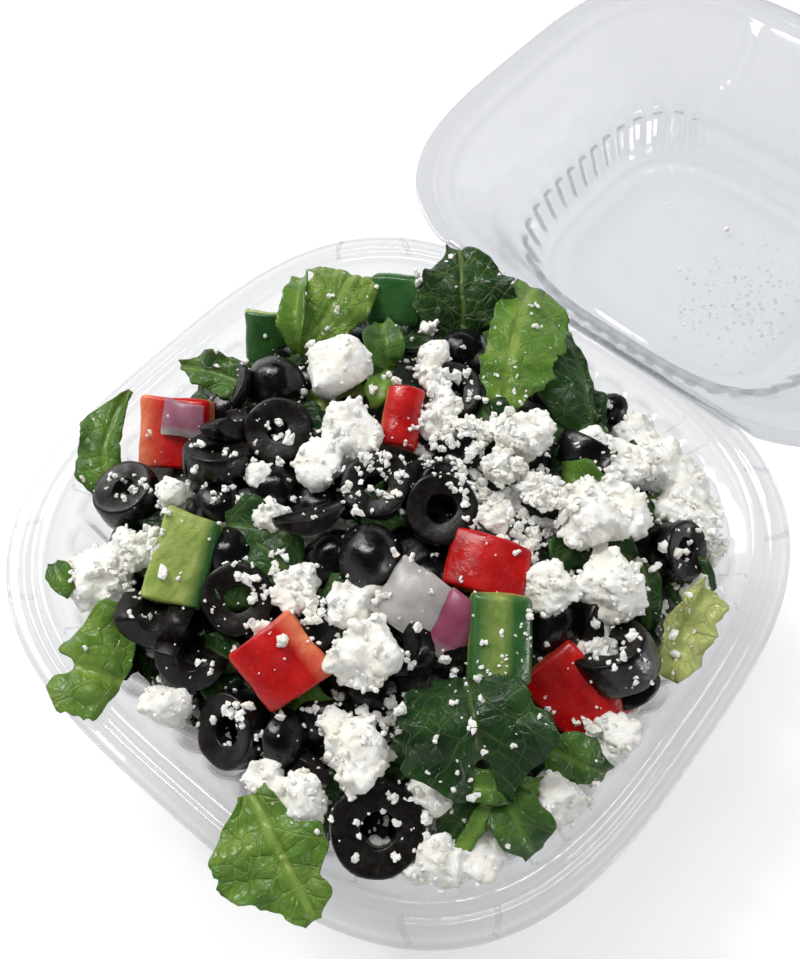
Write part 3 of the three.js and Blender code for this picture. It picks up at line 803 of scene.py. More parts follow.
def olive_slice_form():
    """A slice of a pitted olive, of radius 1 and height 1."""
    form = lay("cylinder", vertices=18, radius=1, depth=1, end_fill_type="NGON")
    open_edit(form)
    pick_faces(form, lambda at, out: abs(out.z) > 0.5)
    bpy.ops.mesh.inset(thickness=1 - OLIVE_HOLE, use_individual=True)
    bpy.ops.mesh.bridge_edge_loops()
    bpy.ops.mesh.select_mode(type="EDGE")
    pick_edges(form, lambda a, b: a.z * b.z > 0 and a.xy.length > 0.9 and b.xy.length > 0.9)
    bpy.ops.mesh.bevel(offset=0.10, segments=2, affect="EDGES")
    bpy.ops.mesh.select_all(action="DESELECT")
    near_hole = OLIVE_HOLE + 0.02
    pick_edges(form, lambda a, b: a.z * b.z > 0 and a.xy.length < near_hole and b.xy.length < near_hole)
    bpy.ops.mesh.bevel(offset=0.06, segments=2, affect="EDGES")
    close_edit()
    finish_with(form, "SUBSURF", levels=1, render_levels=1)
    p = points_of(form.data)
    radius = np.hypot(p[:, 0], p[:, 1])
    face_share = smooth_step(0.38, 0.47, np.abs(p[:, 2])) * smooth_step(0.99, 0.90, radius)
    set_attribute(form.data, "flesh", np.maximum(face_share, smooth_step(0.75, 0.6, radius)))
    p[:, :2] *= (1 + 0.05 * (1 - (2 * p[:, 2]) ** 2))[:, None]
    move_points(form.data, p)
    return form


def olive_end_form():
    """The rounded end of an olive, of radius 1 and height 1, with a stone's mark below."""
    form = lay("uv_sphere", segments=18, ring_count=12, radius=1)
    p = points_of(form.data)
    below = p[:, 2] < 0
    p[:, 2] = np.where(below, -0.5 - 0.05 * p[:, 2], -0.5 + p[:, 2])
    radius = np.hypot(p[:, 0], p[:, 1])
    p[:, 2] += np.where(below, 0.22 * smooth_step(0.4, 0.1, radius), 0)
    move_points(form.data, p)
    set_attribute(form.data, "flesh", np.where(below & (radius < 0.97), 1, 0))
    finish_with(form, "SUBSURF", levels=1, render_levels=1)
    return form


def olive_half_form():
    """Half of a slice, cut through its hole."""
    form = olive_slice_form()
    open_edit(form)
    bpy.ops.mesh.select_all(action="SELECT")
    bpy.ops.mesh.bisect(plane_co=(0, 0.05, 0), plane_no=(0, -1, 0), clear_outer=True, use_fill=True)
    close_edit()
    p = points_of(form.data)
    flesh = np.empty(len(p))
    form.data.attributes["flesh"].data.foreach_get("value", flesh)
    set_attribute(form.data, "flesh", np.maximum(flesh, p[:, 1] < 0.06))
    form.data.transform(Matrix.Translation((0, -0.45, 0)))
    return form


def olive_wedge_form(turn):
    """A pitted olive of radius 1 cut lengthwise: its wall's section swept round by a turn."""
    form = lay("circle", vertices=16, radius=1, fill_type="NGON")
    p = points_of(form.data)
    move_points(form.data, np.c_[0.70 + 0.30 * p[:, 0], np.zeros(len(p)), 1.25 * p[:, 1]])
    open_edit(form)
    bpy.ops.mesh.select_all(action="SELECT")
    bpy.ops.mesh.spin(steps=9, angle=math.radians(turn), center=(0, 0, 0), axis=(0, 0, 1))
    bpy.ops.mesh.select_all(action="SELECT")
    bpy.ops.mesh.remove_doubles(threshold=0.001)
    bpy.ops.mesh.normals_make_consistent(inside=False)
    far = math.radians(turn)
    swept = Vector((-math.sin(far), math.cos(far), 0))
    pick_faces(form, lambda at, out: out.dot(swept) > 0.99 or out.y < -0.99)
    bpy.ops.mesh.inset(thickness=0.05, use_individual=True)
    close_edit()
    p = points_of(form.data)
    along = (p @ np.array(swept)) * 1.0
    ends = (p[:, 1] < 0.01) | (along > -0.01) & (p[:, 1] < math.sin(far) + 0.05)
    inner = np.hypot(p[:, 0], p[:, 1]) < 0.66
    set_attribute(form.data, "flesh", np.where(ends | inner, 1.0, 0.0))
    narrow = 1 - 0.62 * np.abs(p[:, 2] / 1.25) ** 2.4
    move_points(form.data, p * np.c_[narrow, narrow, np.ones(len(p))])
    finish_with(form, "SUBSURF", levels=1, render_levels=1)
    form.data.transform(Matrix.Translation((-0.55 * math.cos(far / 2), -0.55 * math.sin(far / 2), 0)))
    return form


def dented(piece, depth, size, seed):
    """Pushes a piece's surface in and out by smooth noise."""
    points = points_of(piece.data)
    push = depth * noise_at(points, size, seed)
    move_points(piece.data, points + normals_of(piece.data) * push[:, None])
    return piece


def uneven_hole(olive, draw, seed):
    """Widens or narrows a slice's hole, unevenly round it, and lets its faces slope."""
    p = points_of(olive.data)
    radius = np.hypot(p[:, 0], p[:, 1])
    angle = np.arctan2(p[:, 1], p[:, 0])
    ring = np.c_[np.cos(angle), np.sin(angle), np.zeros(len(p))]
    wider = draw.uniform(-0.06, 0.05) + 0.06 * noise_at(ring, 0.9, seed)
    inward = np.clip((1 - radius) / (1 - OLIVE_HOLE), 0, 1)
    grown = np.where(radius < 1, radius + inward * wider, radius)
    p[:, :2] *= (grown / radius)[:, None]
    p[:, 2] *= 1 - 0.22 * inward + 0.10 * noise_at(ring, 1.2, seed + 0.5)
    move_points(olive.data, p)
    return olive


def make_olives(finish):
    draw = random.Random(3)
    forms = {"slice": olive_slice_form(), "end": olive_end_form()}
    olives = []
    for kind, rows in (("slice", OLIVE_SLICES), ("end", OLIVE_ENDS)):
        for k, (x, y, rise, lean, toward, radius, height) in enumerate(rows):
            oval = 1 + 0.10 * (draw.random() - 0.5)
            spin = 360 * draw.random()
            olive = copy_of(forms[kind], Matrix())
            if kind == "slice":
                uneven_hole(olive, draw, k)
            olive.data.transform(Matrix.Diagonal((radius * oval, radius / oval, height, 1)))
            if kind == "slice":
                under = copy_of(forms["end"], Matrix.Diagonal((0.8 * radius, 0.8 * radius, 4, 1)))
                below = seat(x, y, rise, lean, toward) @ Matrix.Translation((0, 0, -0.7 * height))
                under.data.transform(below)
                olives.append(under)
            dented(olive, 0.45, 4.5, k + 31 * (kind == "end"))
            olive.data.transform(seat(x, y, rise, lean, toward, spin))
            olives.append(olive)
    forms |= {"half": olive_half_form(), "wedge": olive_wedge_form(100)}
    for k, (kind, x, y, rise, lean, toward, spin, radius, height) in enumerate(OLIVE_BITS):
        olive = copy_of(forms[kind], Matrix.Diagonal((radius, radius, height, 1)))
        dented(olive, 0.4, 4, 70 + k)
        olive.data.transform(seat(x, y, rise, lean, toward, spin))
        olives.append(olive)
    throw_away(forms.values())
    for olive in olives:
        move_points(olive.data, pressed(points_of(olive.data)))
    return olives


# ---- peppers and onion -------------------------------------------------------------
GREEN_PEPPER = [
    # x, y, rise, lean, toward, spin, width, length, thick, dome, band
    (-55.5, 17, 8, 58, -54, 37, 10.5, 14, 3.4, 1.0, 0),
    (-36.5, 42, 9.5, -46, -54, 22, 13.5, 5, 12.5, 0.6, 5),
    (-26, -39, 8, 24, -40, 26, 11.5, 18.5, 6, 0.6, 1),
    # band 2: a painted highlight strip along the skin
    (34, -14, 9, 30, -54, 38, 12, 17, 7, 1.8, 2),
]
RED_PEPPER = [
    (-52.8, -16.6, 8, 36, -80, 34, 16, 15.5, 6, 1.4, 3),
    (-11, 12, 7, 24, -20, 30, 8, 13, 4, 1.8, 0),
    (23, -3, 6, 14, -54, 22, 16, 12, 5, 2.8, 0),
    (4, -43, 9.5, 24, -54, 76, 14.5, 14.5, 4.5, 1.7, 6),
    (51, -9, 5, 30, -54, -8, 19, 14, 5, 1.6, 4),
]
RED_ONION = [
    # x, y, rise, lean, toward, spin, width, length, thick, dome, purple
    (17, -19, 8.5, 20, -54, 6, 13.0, 12.0, 1.7, 2.2, 0.0),
    (26, -18, 7, 34, -54, 4, 9, 13, 2.2, 1.6, 1.0),
    (-51.2, -15.2, 12.8, 36, -80, 26, 9.5, 7.5, 1.4, 1.0, 0.85),
]
# Where skin gives way to flesh across a dice, as (from, to) shares of its width
SKIN_EDGES = {1: (0.24, 0.36), 3: (-0.40, -0.10), 4: (-0.60, -0.50), 6: (0.46, 0.30)}
ALL_SKIN = 5


def diced(width, length, thick, dome, seed):
    """A square cut from a curved wall, its outer side up, with soft cut edges."""
    dice = lay("cube", size=1)
    dice.data.transform(Matrix.Diagonal((width, length, thick, 1)))
    draw = random.Random(seed)
    corners = points_of(dice.data)
    slip = {}
    for p in corners:
        key = (p[0] > 0, p[1] > 0)
        slip.setdefault(key, (draw.uniform(-0.6, 0.6), draw.uniform(-0.6, 0.6)))
        p[0] += slip[key][0]
        p[1] += slip[key][1]
    move_points(dice.data, corners)
    open_edit(dice)
    bpy.ops.mesh.select_all(action="SELECT")
    bpy.ops.mesh.bevel(offset=0.14 * thick + 0.3, segments=3, affect="EDGES")
    bpy.ops.mesh.select_all(action="SELECT")
    bpy.ops.mesh.subdivide(number_cuts=3)
    close_edit()
    p = points_of(dice.data)
    share = 2 * p[:, 0] / width
    p[:, 2] -= dome * share**2
    p[:, 2] += 0.55 * noise_at(p * [1, 1, 0.2], 7, seed)
    move_points(dice.data, p)
    dented(dice, 0.4, 4.5, seed + 0.3)
    dented(dice, 0.16, 1.8, seed + 0.5)
    return dice


def make_peppers(rows, seed):
    parts = []
    for k, (x, y, rise, lean, toward, spin, width, length, thick, dome, band) in enumerate(rows):
        dice = diced(width, length, thick, dome, seed + k)
        p = points_of(dice.data)
        depth = p[:, 2] + dome * (2 * p[:, 0] / width) ** 2
        skin = smooth_step(0.0, 0.42, depth / thick)
        if band == ALL_SKIN:
            skin = np.ones(len(p))
        if band in SKIN_EDGES:
            skin *= smooth_step(*SKIN_EDGES[band], p[:, 0] / width)
        # Band 2 paints a pale strip of flesh colour down the middle of the skin: a painted highlight along the
        # piece.
        if band == 2:
            skin *= 1 - 0.8 * smooth_step(-0.22, -0.16, p[:, 0] / width) * smooth_step(0.16, 0.06, p[:, 0] / width)
        set_attribute(dice.data, "skin", skin)
        dice.data.transform(seat(x, y, rise, lean, toward, spin))
        move_points(dice.data, pressed(points_of(dice.data)))
        parts.append(dice)
    return parts


def make_onion(rows, seed):
    parts = []
    for k, (x, y, rise, lean, toward, spin, width, length, thick, dome, purple) in enumerate(rows):
        dice = diced(width, length, thick, dome, seed + k)
        p = points_of(dice.data)
        depth = p[:, 2] + dome * (2 * p[:, 0] / width) ** 2
        outside = smooth_step(-0.35, 0.1, depth / thick)
        taper = 1 - 0.55 * np.clip(np.abs(2 * p[:, :2] / (width, length)).max(axis=1), 0, 1) ** 5
        p[:, 2] = (p[:, 2] + dome) * taper - dome
        move_points(dice.data, p)
        edge = smooth_step(-0.50, -0.28, p[:, 1] / length)
        set_attribute(dice.data, "purple", purple * edge * outside)
        dice.data.transform(seat(x, y, rise, lean, toward, spin))
        parts.append(dice)
    return parts


# ---- feta --------------------------------------------------------------------------
FETA_LUMPS = [
    # x, y, rise, radius, squash, crumble
    (-31, 14, 8.5, 7.4, 0.95, 0.25),
    (-17, 1, 8, 7.0, 0.9, 0.8),
    (-17, -7, 6, 5.6, 0.8, 0.8),
    (-42, -49, 5, 8.6, 0.75, 1),
    (-35, -40, 6, 4.2, 0.8, 1),
    (-39, -29, 5, 3.8, 0.9, 0.6),
    (-18, -21, 4, 4.4, 0.8, 1),
    (-27, -15, 4, 3.4, 0.8, 1),
    (-3, -30, 5, 5.0, 0.7, 1),
    (6, -26, 5, 5.2, 0.7, 1),
    (16, -32, 8, 7.2, 0.85, 1),
    (26, -46.5, 7.5, 7.4, 0.75, 1),
    (22, -57, 4, 5.4, 0.8, 1),
    (40.5, -42.5, 9, 4.8, 0.85, 0.7),
    (46, -49, 4, 5.8, 0.8, 1),
    (-10, -60, 3, 5.0, 0.7, 1),
    (54, -43, 4, 5.0, 0.6, 1),
    (59.5, -27.5, 15, 5.4, 0.9, 1),
    (-5, 17, 5, 4.4, 0.8, 1),
    (9, 27, 6, 6.6, 0.8, 1),
    (11, 16, 5, 3.8, 0.7, 1),
    (1, 20, 4, 4.4, 0.7, 1),
    (32, 20, 7, 8.0, 0.8, 1),
    (43, 11, 9, 7.8, 0.85, 1),
    (35, 2, 7, 6.0, 0.9, 1),
    (33, 48, 4, 7.6, 0.8, 1),
    (24, 53, 3, 5.6, 0.8, 1),
    (46, 41, 5, 7.4, 0.8, 1),
    (54, 31, 4, 5.6, 0.8, 1),
    (60, -8, 5, 5.4, 0.8, 0.8),
    (17, 5, 5, 4.0, 0.7, 1),
    (21, 18, 5, 3.6, 0.7, 1),
    (21, 38, 5.5, 3.6, 0.8, 0.5),
    (29, 40, 4, 6.4, 0.8, 0.7),
    (40, 49, 4, 7.0, 0.8, 0.5),
    (49, 50, 4, 5.6, 0.8, 0.8),
    (56, 42, 4, 5.2, 0.8, 0.8),
    (36, 27, 5, 6.0, 0.8, 1),
    (30, 30, 4, 5.0, 0.8, 1),
    (48, 1, 6, 4.2, 0.8, 1),
    (59, -16, 6, 5.4, 0.9, 0.6),
    (58, -44, 3, 5.2, 0.8, 1),
    (52, -50, 3, 5.0, 0.8, 1),
    (20, -45, 6, 5.0, 0.8, 1),
    (12, -61, 3, 4.6, 0.8, 1),
    (-33, -53, 4, 5.4, 0.8, 1),
    (8, -20, 5, 3.6, 0.8, 1),
    (50.5, -49.5, 13, 4.8, 0.8, 1),
    (54.5, -44.5, 13, 4.6, 0.8, 1),
    (48.5, -49.5, 13, 4.6, 0.85, 0.8),
    (47.5, -54, 12, 3.8, 0.8, 1),
    (-17, 30, 8.5, 3.4, 0.9, 0.4),
    (-13.9, 24.5, 7, 3.0, 0.9, 0.5),
    (-24, 37.5, 9, 2.2, 0.9, 1),
    (22.5, -58, 12.5, 4.8, 0.85, 0.7),
    (15.2, -60, 12, 4.4, 0.85, 0.8),
    (-10.5, -61, 12, 5.0, 0.85, 0.8),
    (-39, -29.5, 8.6, 3.0, 0.9, 0.6),
    (61, -10, 12, 5.0, 0.85, 1),
    (-7.5, 22, 6.5, 3.6, 0.8, 1),
    (-3, -40.5, 8, 2.6, 0.7, 1),
    (-38, 53, 3, 4.2, 0.8, 1),
    (-16, 58, 3.5, 4.0, 0.8, 1),
    (-54, 40, 3, 3.8, 0.8, 1),
    (59, -36, 8, 4.0, 0.8, 1),
    (40.5, -56, 8, 4.2, 0.8, 1),
    (58, -5, 6, 4.4, 0.7, 1),
    (-40, -50, 9, 6.0, 0.75, 1),
    (-38, -43, 8, 4.6, 0.8, 1),
]
VOXEL = 0.58  # of the mesh that fuses a lump and its granules


def ball_form(subdivisions):
    ball = lay("ico_sphere", subdivisions=subdivisions, radius=1)
    form = points_of(ball.data), [tuple(f.vertices) for f in ball.data.polygons]
    throw_away([ball])
    return form


def broken(ball, draw, breaks, deepest=0.55):
    """Flattens a ball along random planes, the way a crumb of cheese breaks off."""
    points = ball.copy()
    for _ in range(breaks):
        out = np.array([draw.gauss(0, 1) for _ in range(3)])
        out /= np.linalg.norm(out)
        beyond = np.maximum(points @ out - draw.uniform(deepest, 0.92), 0)
        points -= beyond[:, None] * out
    return points


def puffs_at(points, size, seed):
    """Rounded swellings with creases between them, from 0 in a crease to 1 on top."""
    shift = Vector((seed * 3.7, seed * 1.9, seed * 7.3))
    nearest = np.array([noise.voronoi(Vector(p) / size + shift)[0][0] for p in points])
    return np.maximum(1 - 1.7 * nearest**2, 0)


def chips_at(points, size, seed):
    """Flat chips at uneven heights and slants, with narrow cracks between, about -1 to 1."""
    shift = Vector((seed * 3.7, seed * 1.9, seed * 7.3))
    heights = []
    for p in points:
        at = Vector(p) / size + shift
        far, near = noise.voronoi(at)
        tilt = noise.noise_vector(near[0] * 2.7)
        crack = min((far[1] - far[0]) / 0.16, 1) - 1
        heights.append(noise.noise(near[0] * 3.1) + 1.3 * tilt.dot(at - near[0]) + 0.5 * crack)
    return np.array(heights)


class Gathering:
    """Points and faces of many small closed shapes, for one mesh."""

    def __init__(self):
        self.points, self.faces, self.count = [], [], 0

    def add(self, points, faces):
        self.points.append(points)
        self.faces += [tuple(i + self.count for i in face) for face in faces]
        self.count += len(points)

    def piece(self, name):
        return piece_from(name, np.concatenate(self.points), self.faces)


def turned(draw):
    axis = Vector((draw.gauss(0, 1), draw.gauss(0, 1), draw.gauss(0, 1))).normalized()
    return np.array(Matrix.Rotation(6.28 * draw.random(), 3, axis))


def make_feta():
    """Lumps that broke off in flat faces, fused with smaller bits, with grains clinging on."""
    draw = random.Random(11)
    heart, heart_faces = ball_form(4)
    bit_form, bit_faces = ball_form(2)
    grain_form, grain_faces = ball_form(1)
    cloud, grains = Gathering(), Gathering()
    for x, y, rise, radius, squash, crumble in FETA_LUMPS:
        centre = np.array(seat(x, y, rise).translation)
        flat = np.array([1, 1, squash])
        breaks = broken(heart, draw, 4 + int(7 * crumble), 0.7 - 0.2 * crumble)
        shape = breaks * radius * 1.04 @ turned(draw).T * flat
        cloud.add(shape + centre, heart_faces)
        for _ in range(int((0.3 + crumble) * 1.3 * radius)):
            at = shape[draw.randrange(len(shape))]
            r = radius * draw.uniform(0.14, 0.34)
            bit = broken(bit_form, draw, 7, 0.4) * r @ turned(draw).T
            cloud.add(bit + at * draw.uniform(0.80, 1.0) + centre, bit_faces)
        for _ in range(int(crumble * 7 * radius)):
            at = shape[draw.randrange(len(shape))]
            bit = broken(bit_form, draw, 6, 0.4) * draw.uniform(0.5, 1.3) @ turned(draw).T
            cloud.add(bit + at * draw.uniform(0.94, 1.06) + centre, bit_faces)
        for _ in range(int((0.2 + crumble) * 4 * radius)):
            at = shape[draw.randrange(len(shape))]
            grain = crumb_form(grain_form, draw, draw.uniform(0.3, 0.85))
            grains.add(grain + at * draw.uniform(1.0, 1.10) + centre, grain_faces)
    lumps = cloud.piece("feta")
    finish_with(lumps, "REMESH", mode="VOXEL", voxel_size=VOXEL)
    p = points_of(lumps.data)
    rough = curdiness(p)
    push = rough * (0.42 * chips_at(p, 2.4, 1) + 0.22 * chips_at(p, 1.2, 2))
    push += 0.35 * noise_at(p, 4.5, 3) + 0.16 * noise_at(p, 1.0, 4)
    move_points(lumps.data, pressed(p + normals_of(lumps.data) * push[:, None]))
    loose = grains.piece("grains")
    move_points(loose.data, pressed(points_of(loose.data)))
    return [lumps, loose]


def crumb_form(form, draw, size):
    """One small angular crumb."""
    crumb = broken(form * np.array([[draw.uniform(0.75, 1.25)] for _ in form]), draw, 4, 0.3)
    stretch = np.array([draw.uniform(0.8, 1.5), 1, draw.uniform(0.7, 1)])
    return crumb * stretch * size @ turned(draw).T


def curdiness(points):
    """How crumbly the nearest lump is, at each point."""
    table = np.array(FETA_LUMPS, float)
    heights = core_height(table[:, 0], table[:, 1]) + table[:, 2] - SETTLE
    centres = np.c_[table[:, :2], heights]
    gaps = np.linalg.norm(points[:, None] - centres, axis=2) / table[:, 3]
    return 0.10 + 0.90 * table[gaps.argmin(1), 5]


# ---- lettuce -----------------------------------------------------------------------
FORWARD = (0.30, -0.40, 1.0)
LEAVES = [
    # midrib, half widths on its left, on its right, facing, cup, ruffle, pale, veined, fork, fan
    ([(-50.6, -35.4, 43), (-60.5, -29.7, 46), (-67, -15.5, 47)],
     (2, 6, 6, 0.6), (2, 4, 3, 0.6), FORWARD, 0.05, 0.8, 0.50, 0.6, 0, 0),
    ([(-45, 2, 49), (-55, -0.7, 49), (-64, -3, 46)],
     (4, 5, 4, 1), (4, 4.5, 4, 1), FORWARD, 0.1, 0.8, 0.40, 0.5, 0, 0),
    ([(-44.2, 15.9, 49), (-43.6, 25.9, 55.5), (-48, 38.5, 53)],
     (1.5, 5, 8, 10), (1.5, 6, 8, 7), FORWARD, -0.12, 0.9, 0.66, 0.75, 0, 3),
    ([(-44.1, 15.2, 49), (-48.5, 19.6, 56), (-56.3, 30.5, 53)],
     (1, 3, 3.2, 2), (1, 3, 3, 2), (-0.2, -0.5, 1), 0.6, 0.4, 0.62, 0.3, 0, 0),
    ([(-18, 43, 48), (-23.2, 48.4, 56), (-31.8, 58.5, 56)],
     (4, 10, 9, 3), (5, 11, 11, 3), FORWARD, 0.08, 1.5, 0.15, 0.8, 0, 0),
    ([(3.6, 29.5, 54), (-4.6, 41.9, 59), (-13.7, 63, 53)],
     (3, 6.5, 6, 4), (2, 8, 12, 12, 9), FORWARD, -0.10, 0.9, 0.66, 0.5, 0, 0),
    ([(20.7, 39.6, 46), (12.5, 47.7, 52), (-0.9, 60.4, 49.5)],
     (0.6, 8, 11, 6), (0.5, 1.6, 2, 1), (0.5, -0.3, 1), -0.15, 0.5, 0.17, 0.3, 0, 0),
    ([(-23, 23, 54), (-26.4, 25, 58), (-32.6, 31, 55)],
     (1, 4, 4, 1.5), (1, 3.5, 3.5, 1.5), FORWARD, 0.5, 0.5, 0.45, 0.3, 0, 0),
    ([(-19, 12, 55), (-20, 15, 58), (-22.7, 21.5, 56)],
     (1, 3.5, 3, 1), (1, 3, 3, 1), FORWARD, -0.3, 0.5, 0.6, 0.3, 0, 0),
    ([(-20.3, -63.7, 42), (-24.8, -66, 45), (-33, -69.5, 43.5)],
     (4, 9, 11, 5), (4, 12, 14, 5), (0, -0.2, 1), 0.02, 1.1, 0.72, 0.6, 0.22, 0),
    ([(14.5, -63.9, 45.5), (27.3, -68.6, 45), (38.2, -72.6, 41.8)],
     (3.5, 4, 4.5, 9.3, 7.5, 4.5, 5.5, 1.5), (2, 8, 12, 11.5, 10, 8, 5, 1.5),
     (0.10, -0.26, 1), 0.02, 1.0, 0.67, 1.0, 0, 0),
    ([(32, -22.6, 53), (40.9, -30.5, 57), (49.5, -37.5, 49)],
     (5, 10, 13, 5), (6, 13, 15, 6), FORWARD, 0.25, 0.9, 0.12, 0.3, 0.25, 0),
    ([(39, -39, 48), (48.7, -36, 51), (56.4, -27.6, 48)],
     (2, 3, 3, 1), (2, 3, 3, 1), FORWARD, 0.1, 0.4, 0.5, 0.4, 0, 0),
    ([(51.3, -49.6, 43), (51, -43, 47), (50.2, -36, 49)],
     (1.2, 1.6, 1.8, 1.6), (1.2, 1.6, 1.8, 1.6), FORWARD, -0.3, 0.1, 0.6, 0.5, 0, 0),
    ([(50.5, -34.7, 48), (56.3, -37, 48), (62, -38.7, 44)],
     (3, 6, 6, 2), (3, 5, 5, 2), FORWARD, 0.1, 0.9, 0.35, 0.4, 0, 0),
    ([(48, -37, 47), (48, -42.7, 46), (48.7, -48.3, 43)],
     (2, 3, 3, 1), (3, 4, 4, 1), FORWARD, 0.1, 0.6, 0.12, 0.3, 0, 0),
    ([(52, -22, 47), (58, -21, 48), (64, -18, 44)],
     (3, 5, 5, 2), (3, 5, 4, 2), FORWARD, -0.1, 0.8, 0.42, 0.4, 0, 0),
    # This leaf's pale is set high partly for its own pale colour and partly as painted light, to make up for the
    # shade it lies in.
    ([(58.7, 28, 46), (60, 18, 46), (61.5, 6, 43.5)],
     (3, 5.5, 6, 3), (2.5, 4.5, 5, 3), (0.3, -0.2, 1), 0.3, 1.7, 1.12, 0.8, 0, 1),
    ([(-43, -56, 41.5), (-46.4, -56, 43), (-50.6, -54.5, 42)],
     (2, 3, 3, 1), (2, 3, 3, 1), FORWARD, 0.1, 0.4, 0.4, 0.4, 0, 0),
    ([(-18, -26.4, 48), (-13.3, -23, 49), (-10, -18.7, 48)],
     (2, 4, 4, 2), (2, 4, 4, 2), FORWARD, 0.1, 0.6, 0.15, 0.3, 0, 0),
    ([(44.4, 21.7, 49), (49.3, 17.6, 48), (54.2, 12, 45)],
     (1, 3, 3, 1), (1, 3, 3, 1), FORWARD, 0.1, 0.6, 0.14, 0.3, 0, 0),
    ([(-34, 6.4, 48), (-29, 10.7, 50), (-25.7, 17.3, 49)],
     (2, 3.5, 3.5, 2), (2, 4, 3.5, 2), FORWARD, 0.1, 0.6, 0.78, 0.5, 0, 0),
    ([(-33, 42, 42.5), (-39.5, 44.5, 39.5), (-45, 46.5, 36.8)],
     (3, 6, 6, 2), (3, 6.5, 6.5, 2), (-0.3, 0.3, 1), 0.1, 0.7, 0.35, 0.6, 0, 0),
    ([(-17, 50, 40.8), (-25, 52, 38.2), (-33, 52, 36.6)],
     (3, 5, 5, 2), (3, 6, 6, 2), (-0.1, 0.4, 1), 0.1, 0.7, 0.55, 0.6, 0, 0),
    ([(-48, 28, 41), (-52, 35, 38), (-54, 41.5, 35.4)],
     (2.5, 4.5, 4.5, 2), (2.5, 5.5, 5.5, 2), (-0.4, 0.1, 1), 0.1, 0.7, 0.25, 0.6, 0, 0),
]
LEAF_THICK = 0.45
PUFF = 0.75  # height of the swellings between a leaf's veins


def eased(values, t):
    """Reads a list of evenly spaced values at shares t of its length, without corners."""
    place = t * (len(values) - 1)
    index = np.minimum(place.astype(int), len(values) - 2)
    share = smooth_step(0, 1, place - index)
    table = np.array(values, float)
    return table[index] * (1 - share) + table[index + 1] * share


def blade(midrib, left, right, facing, cup, ruffle, pale, veined, fork, fan, seed, spacing=0.62):
    """A thin wavy leaf along the arc through three points of its midrib.

    A forked leaf is notched at its tip, and a fan has that many ribs spread from its base.
    """
    base, middle, tip = (np.array(p, float) for p in midrib)
    bend = 2 * middle - 0.5 * base - 0.5 * tip
    length = np.linalg.norm(middle - base) + np.linalg.norm(tip - middle)
    width = max(left) + max(right)
    steps = [max(8, min(52, int(side / spacing))) for side in (length, width)]
    leaf = lay("grid", x_subdivisions=steps[0], y_subdivisions=steps[1], size=1)
    flat = points_of(leaf.data)
    t, s = flat[:, 0] + 0.5, 2 * flat[:, 1]
    t = t * (1 - fork * np.exp(-((s / 0.3) ** 2)))
    centre = np.outer((1 - t) ** 2, base) + np.outer(2 * t * (1 - t), bend) + np.outer(t**2, tip)
    ahead = np.outer(2 * (1 - t), bend - base) + np.outer(2 * t, tip - bend)
    ahead /= np.linalg.norm(ahead, axis=1, keepdims=True)
    across = np.cross(np.array(facing, float), ahead)
    across /= np.linalg.norm(across, axis=1, keepdims=True)
    up = np.cross(ahead, across)
    reach = np.where(s > 0, eased(left, t), eased(right, t))
    edge = np.c_[t * length, 40 * np.sign(s), np.zeros(len(t))]
    torn = 0.20 * noise_at(edge, 7, seed) + 0.16 * noise_at(edge, 2.8, seed)
    torn += 0.08 * noise_at(edge, 1.1, seed)
    reach = reach * (1 + torn * np.abs(s) ** 3)
    side = reach * s
    wave_phase = seed * 1.7 + np.where(s > 0, 0, 2.1)
    wave = np.sin(2 * np.pi * t * length / 8.5 + wave_phase)
    lift = cup * width * 0.5 * (s**2) * (reach / (0.5 * width))
    lift += ruffle * wave * np.abs(s) ** 2.2
    flat = np.c_[t * length, side, np.zeros(len(t))]
    lift += 1.1 * ruffle * noise_at(flat, 7, seed) + 0.35 * noise_at(flat, 2.6, seed)
    if spacing < 1:
        lift += PUFF * min(1, 0.2 + veined) * puffs_at(flat, 4.2, seed) * smooth_step(0.4, 1.6, np.abs(side))
    rib = np.exp(-((side / (0.5 + pale)) ** 2)) * (1 - 0.6 * t)
    if fan:
        rib = 0.9 * np.cos(np.pi * fan * s * (1 + 0.1 * np.sin(5 * t))) ** 16
    lift -= 0.35 * rib
    points = centre + across * side[:, None] + up * lift[:, None]
    move_points(leaf.data, points)
    rim = smooth_step(0.86, 1.0, np.maximum(np.abs(s), t)) if fan else -0.5 * s**2
    set_attribute(leaf.data, "pale", pale + 0.2 * pale * (rib + rim) + 0.12 * noise_at(flat, 5, seed))
    set_attribute(leaf.data, "veined", np.full(len(t), veined))
    map_leaf(leaf, t * length / 20, side / 20)
    finish_with(leaf, "SOLIDIFY", thickness=LEAF_THICK, offset=-1)
    move_points(leaf.data, pressed(points_of(leaf.data), drapes=True))
    return leaf


def map_leaf(leaf, along, across):
    corners = np.empty(len(leaf.data.loops), int)
    leaf.data.loops.foreach_get("vertex_index", corners)
    uv = np.c_[along[corners], across[corners]].ravel()
    leaf.data.uv_layers.active.data.foreach_set("uv", uv)


def make_lettuce(finish):
    leaves = []
    for k, row in enumerate(LEAVES):
        leaves.append(blade(*row, k + 1))
    return leaves


# ---- what fills the gaps and shows through the wall -----------------------------------
def wall_point(angle, z, inset):
    half = float(np.interp(z, WALL_HEIGHTS, WALL_HALVES)) - inset
    r = float(outline_radius(angle, half, CORNER_POWER))
    return Vector((r * math.cos(angle), r * math.sin(angle), z))


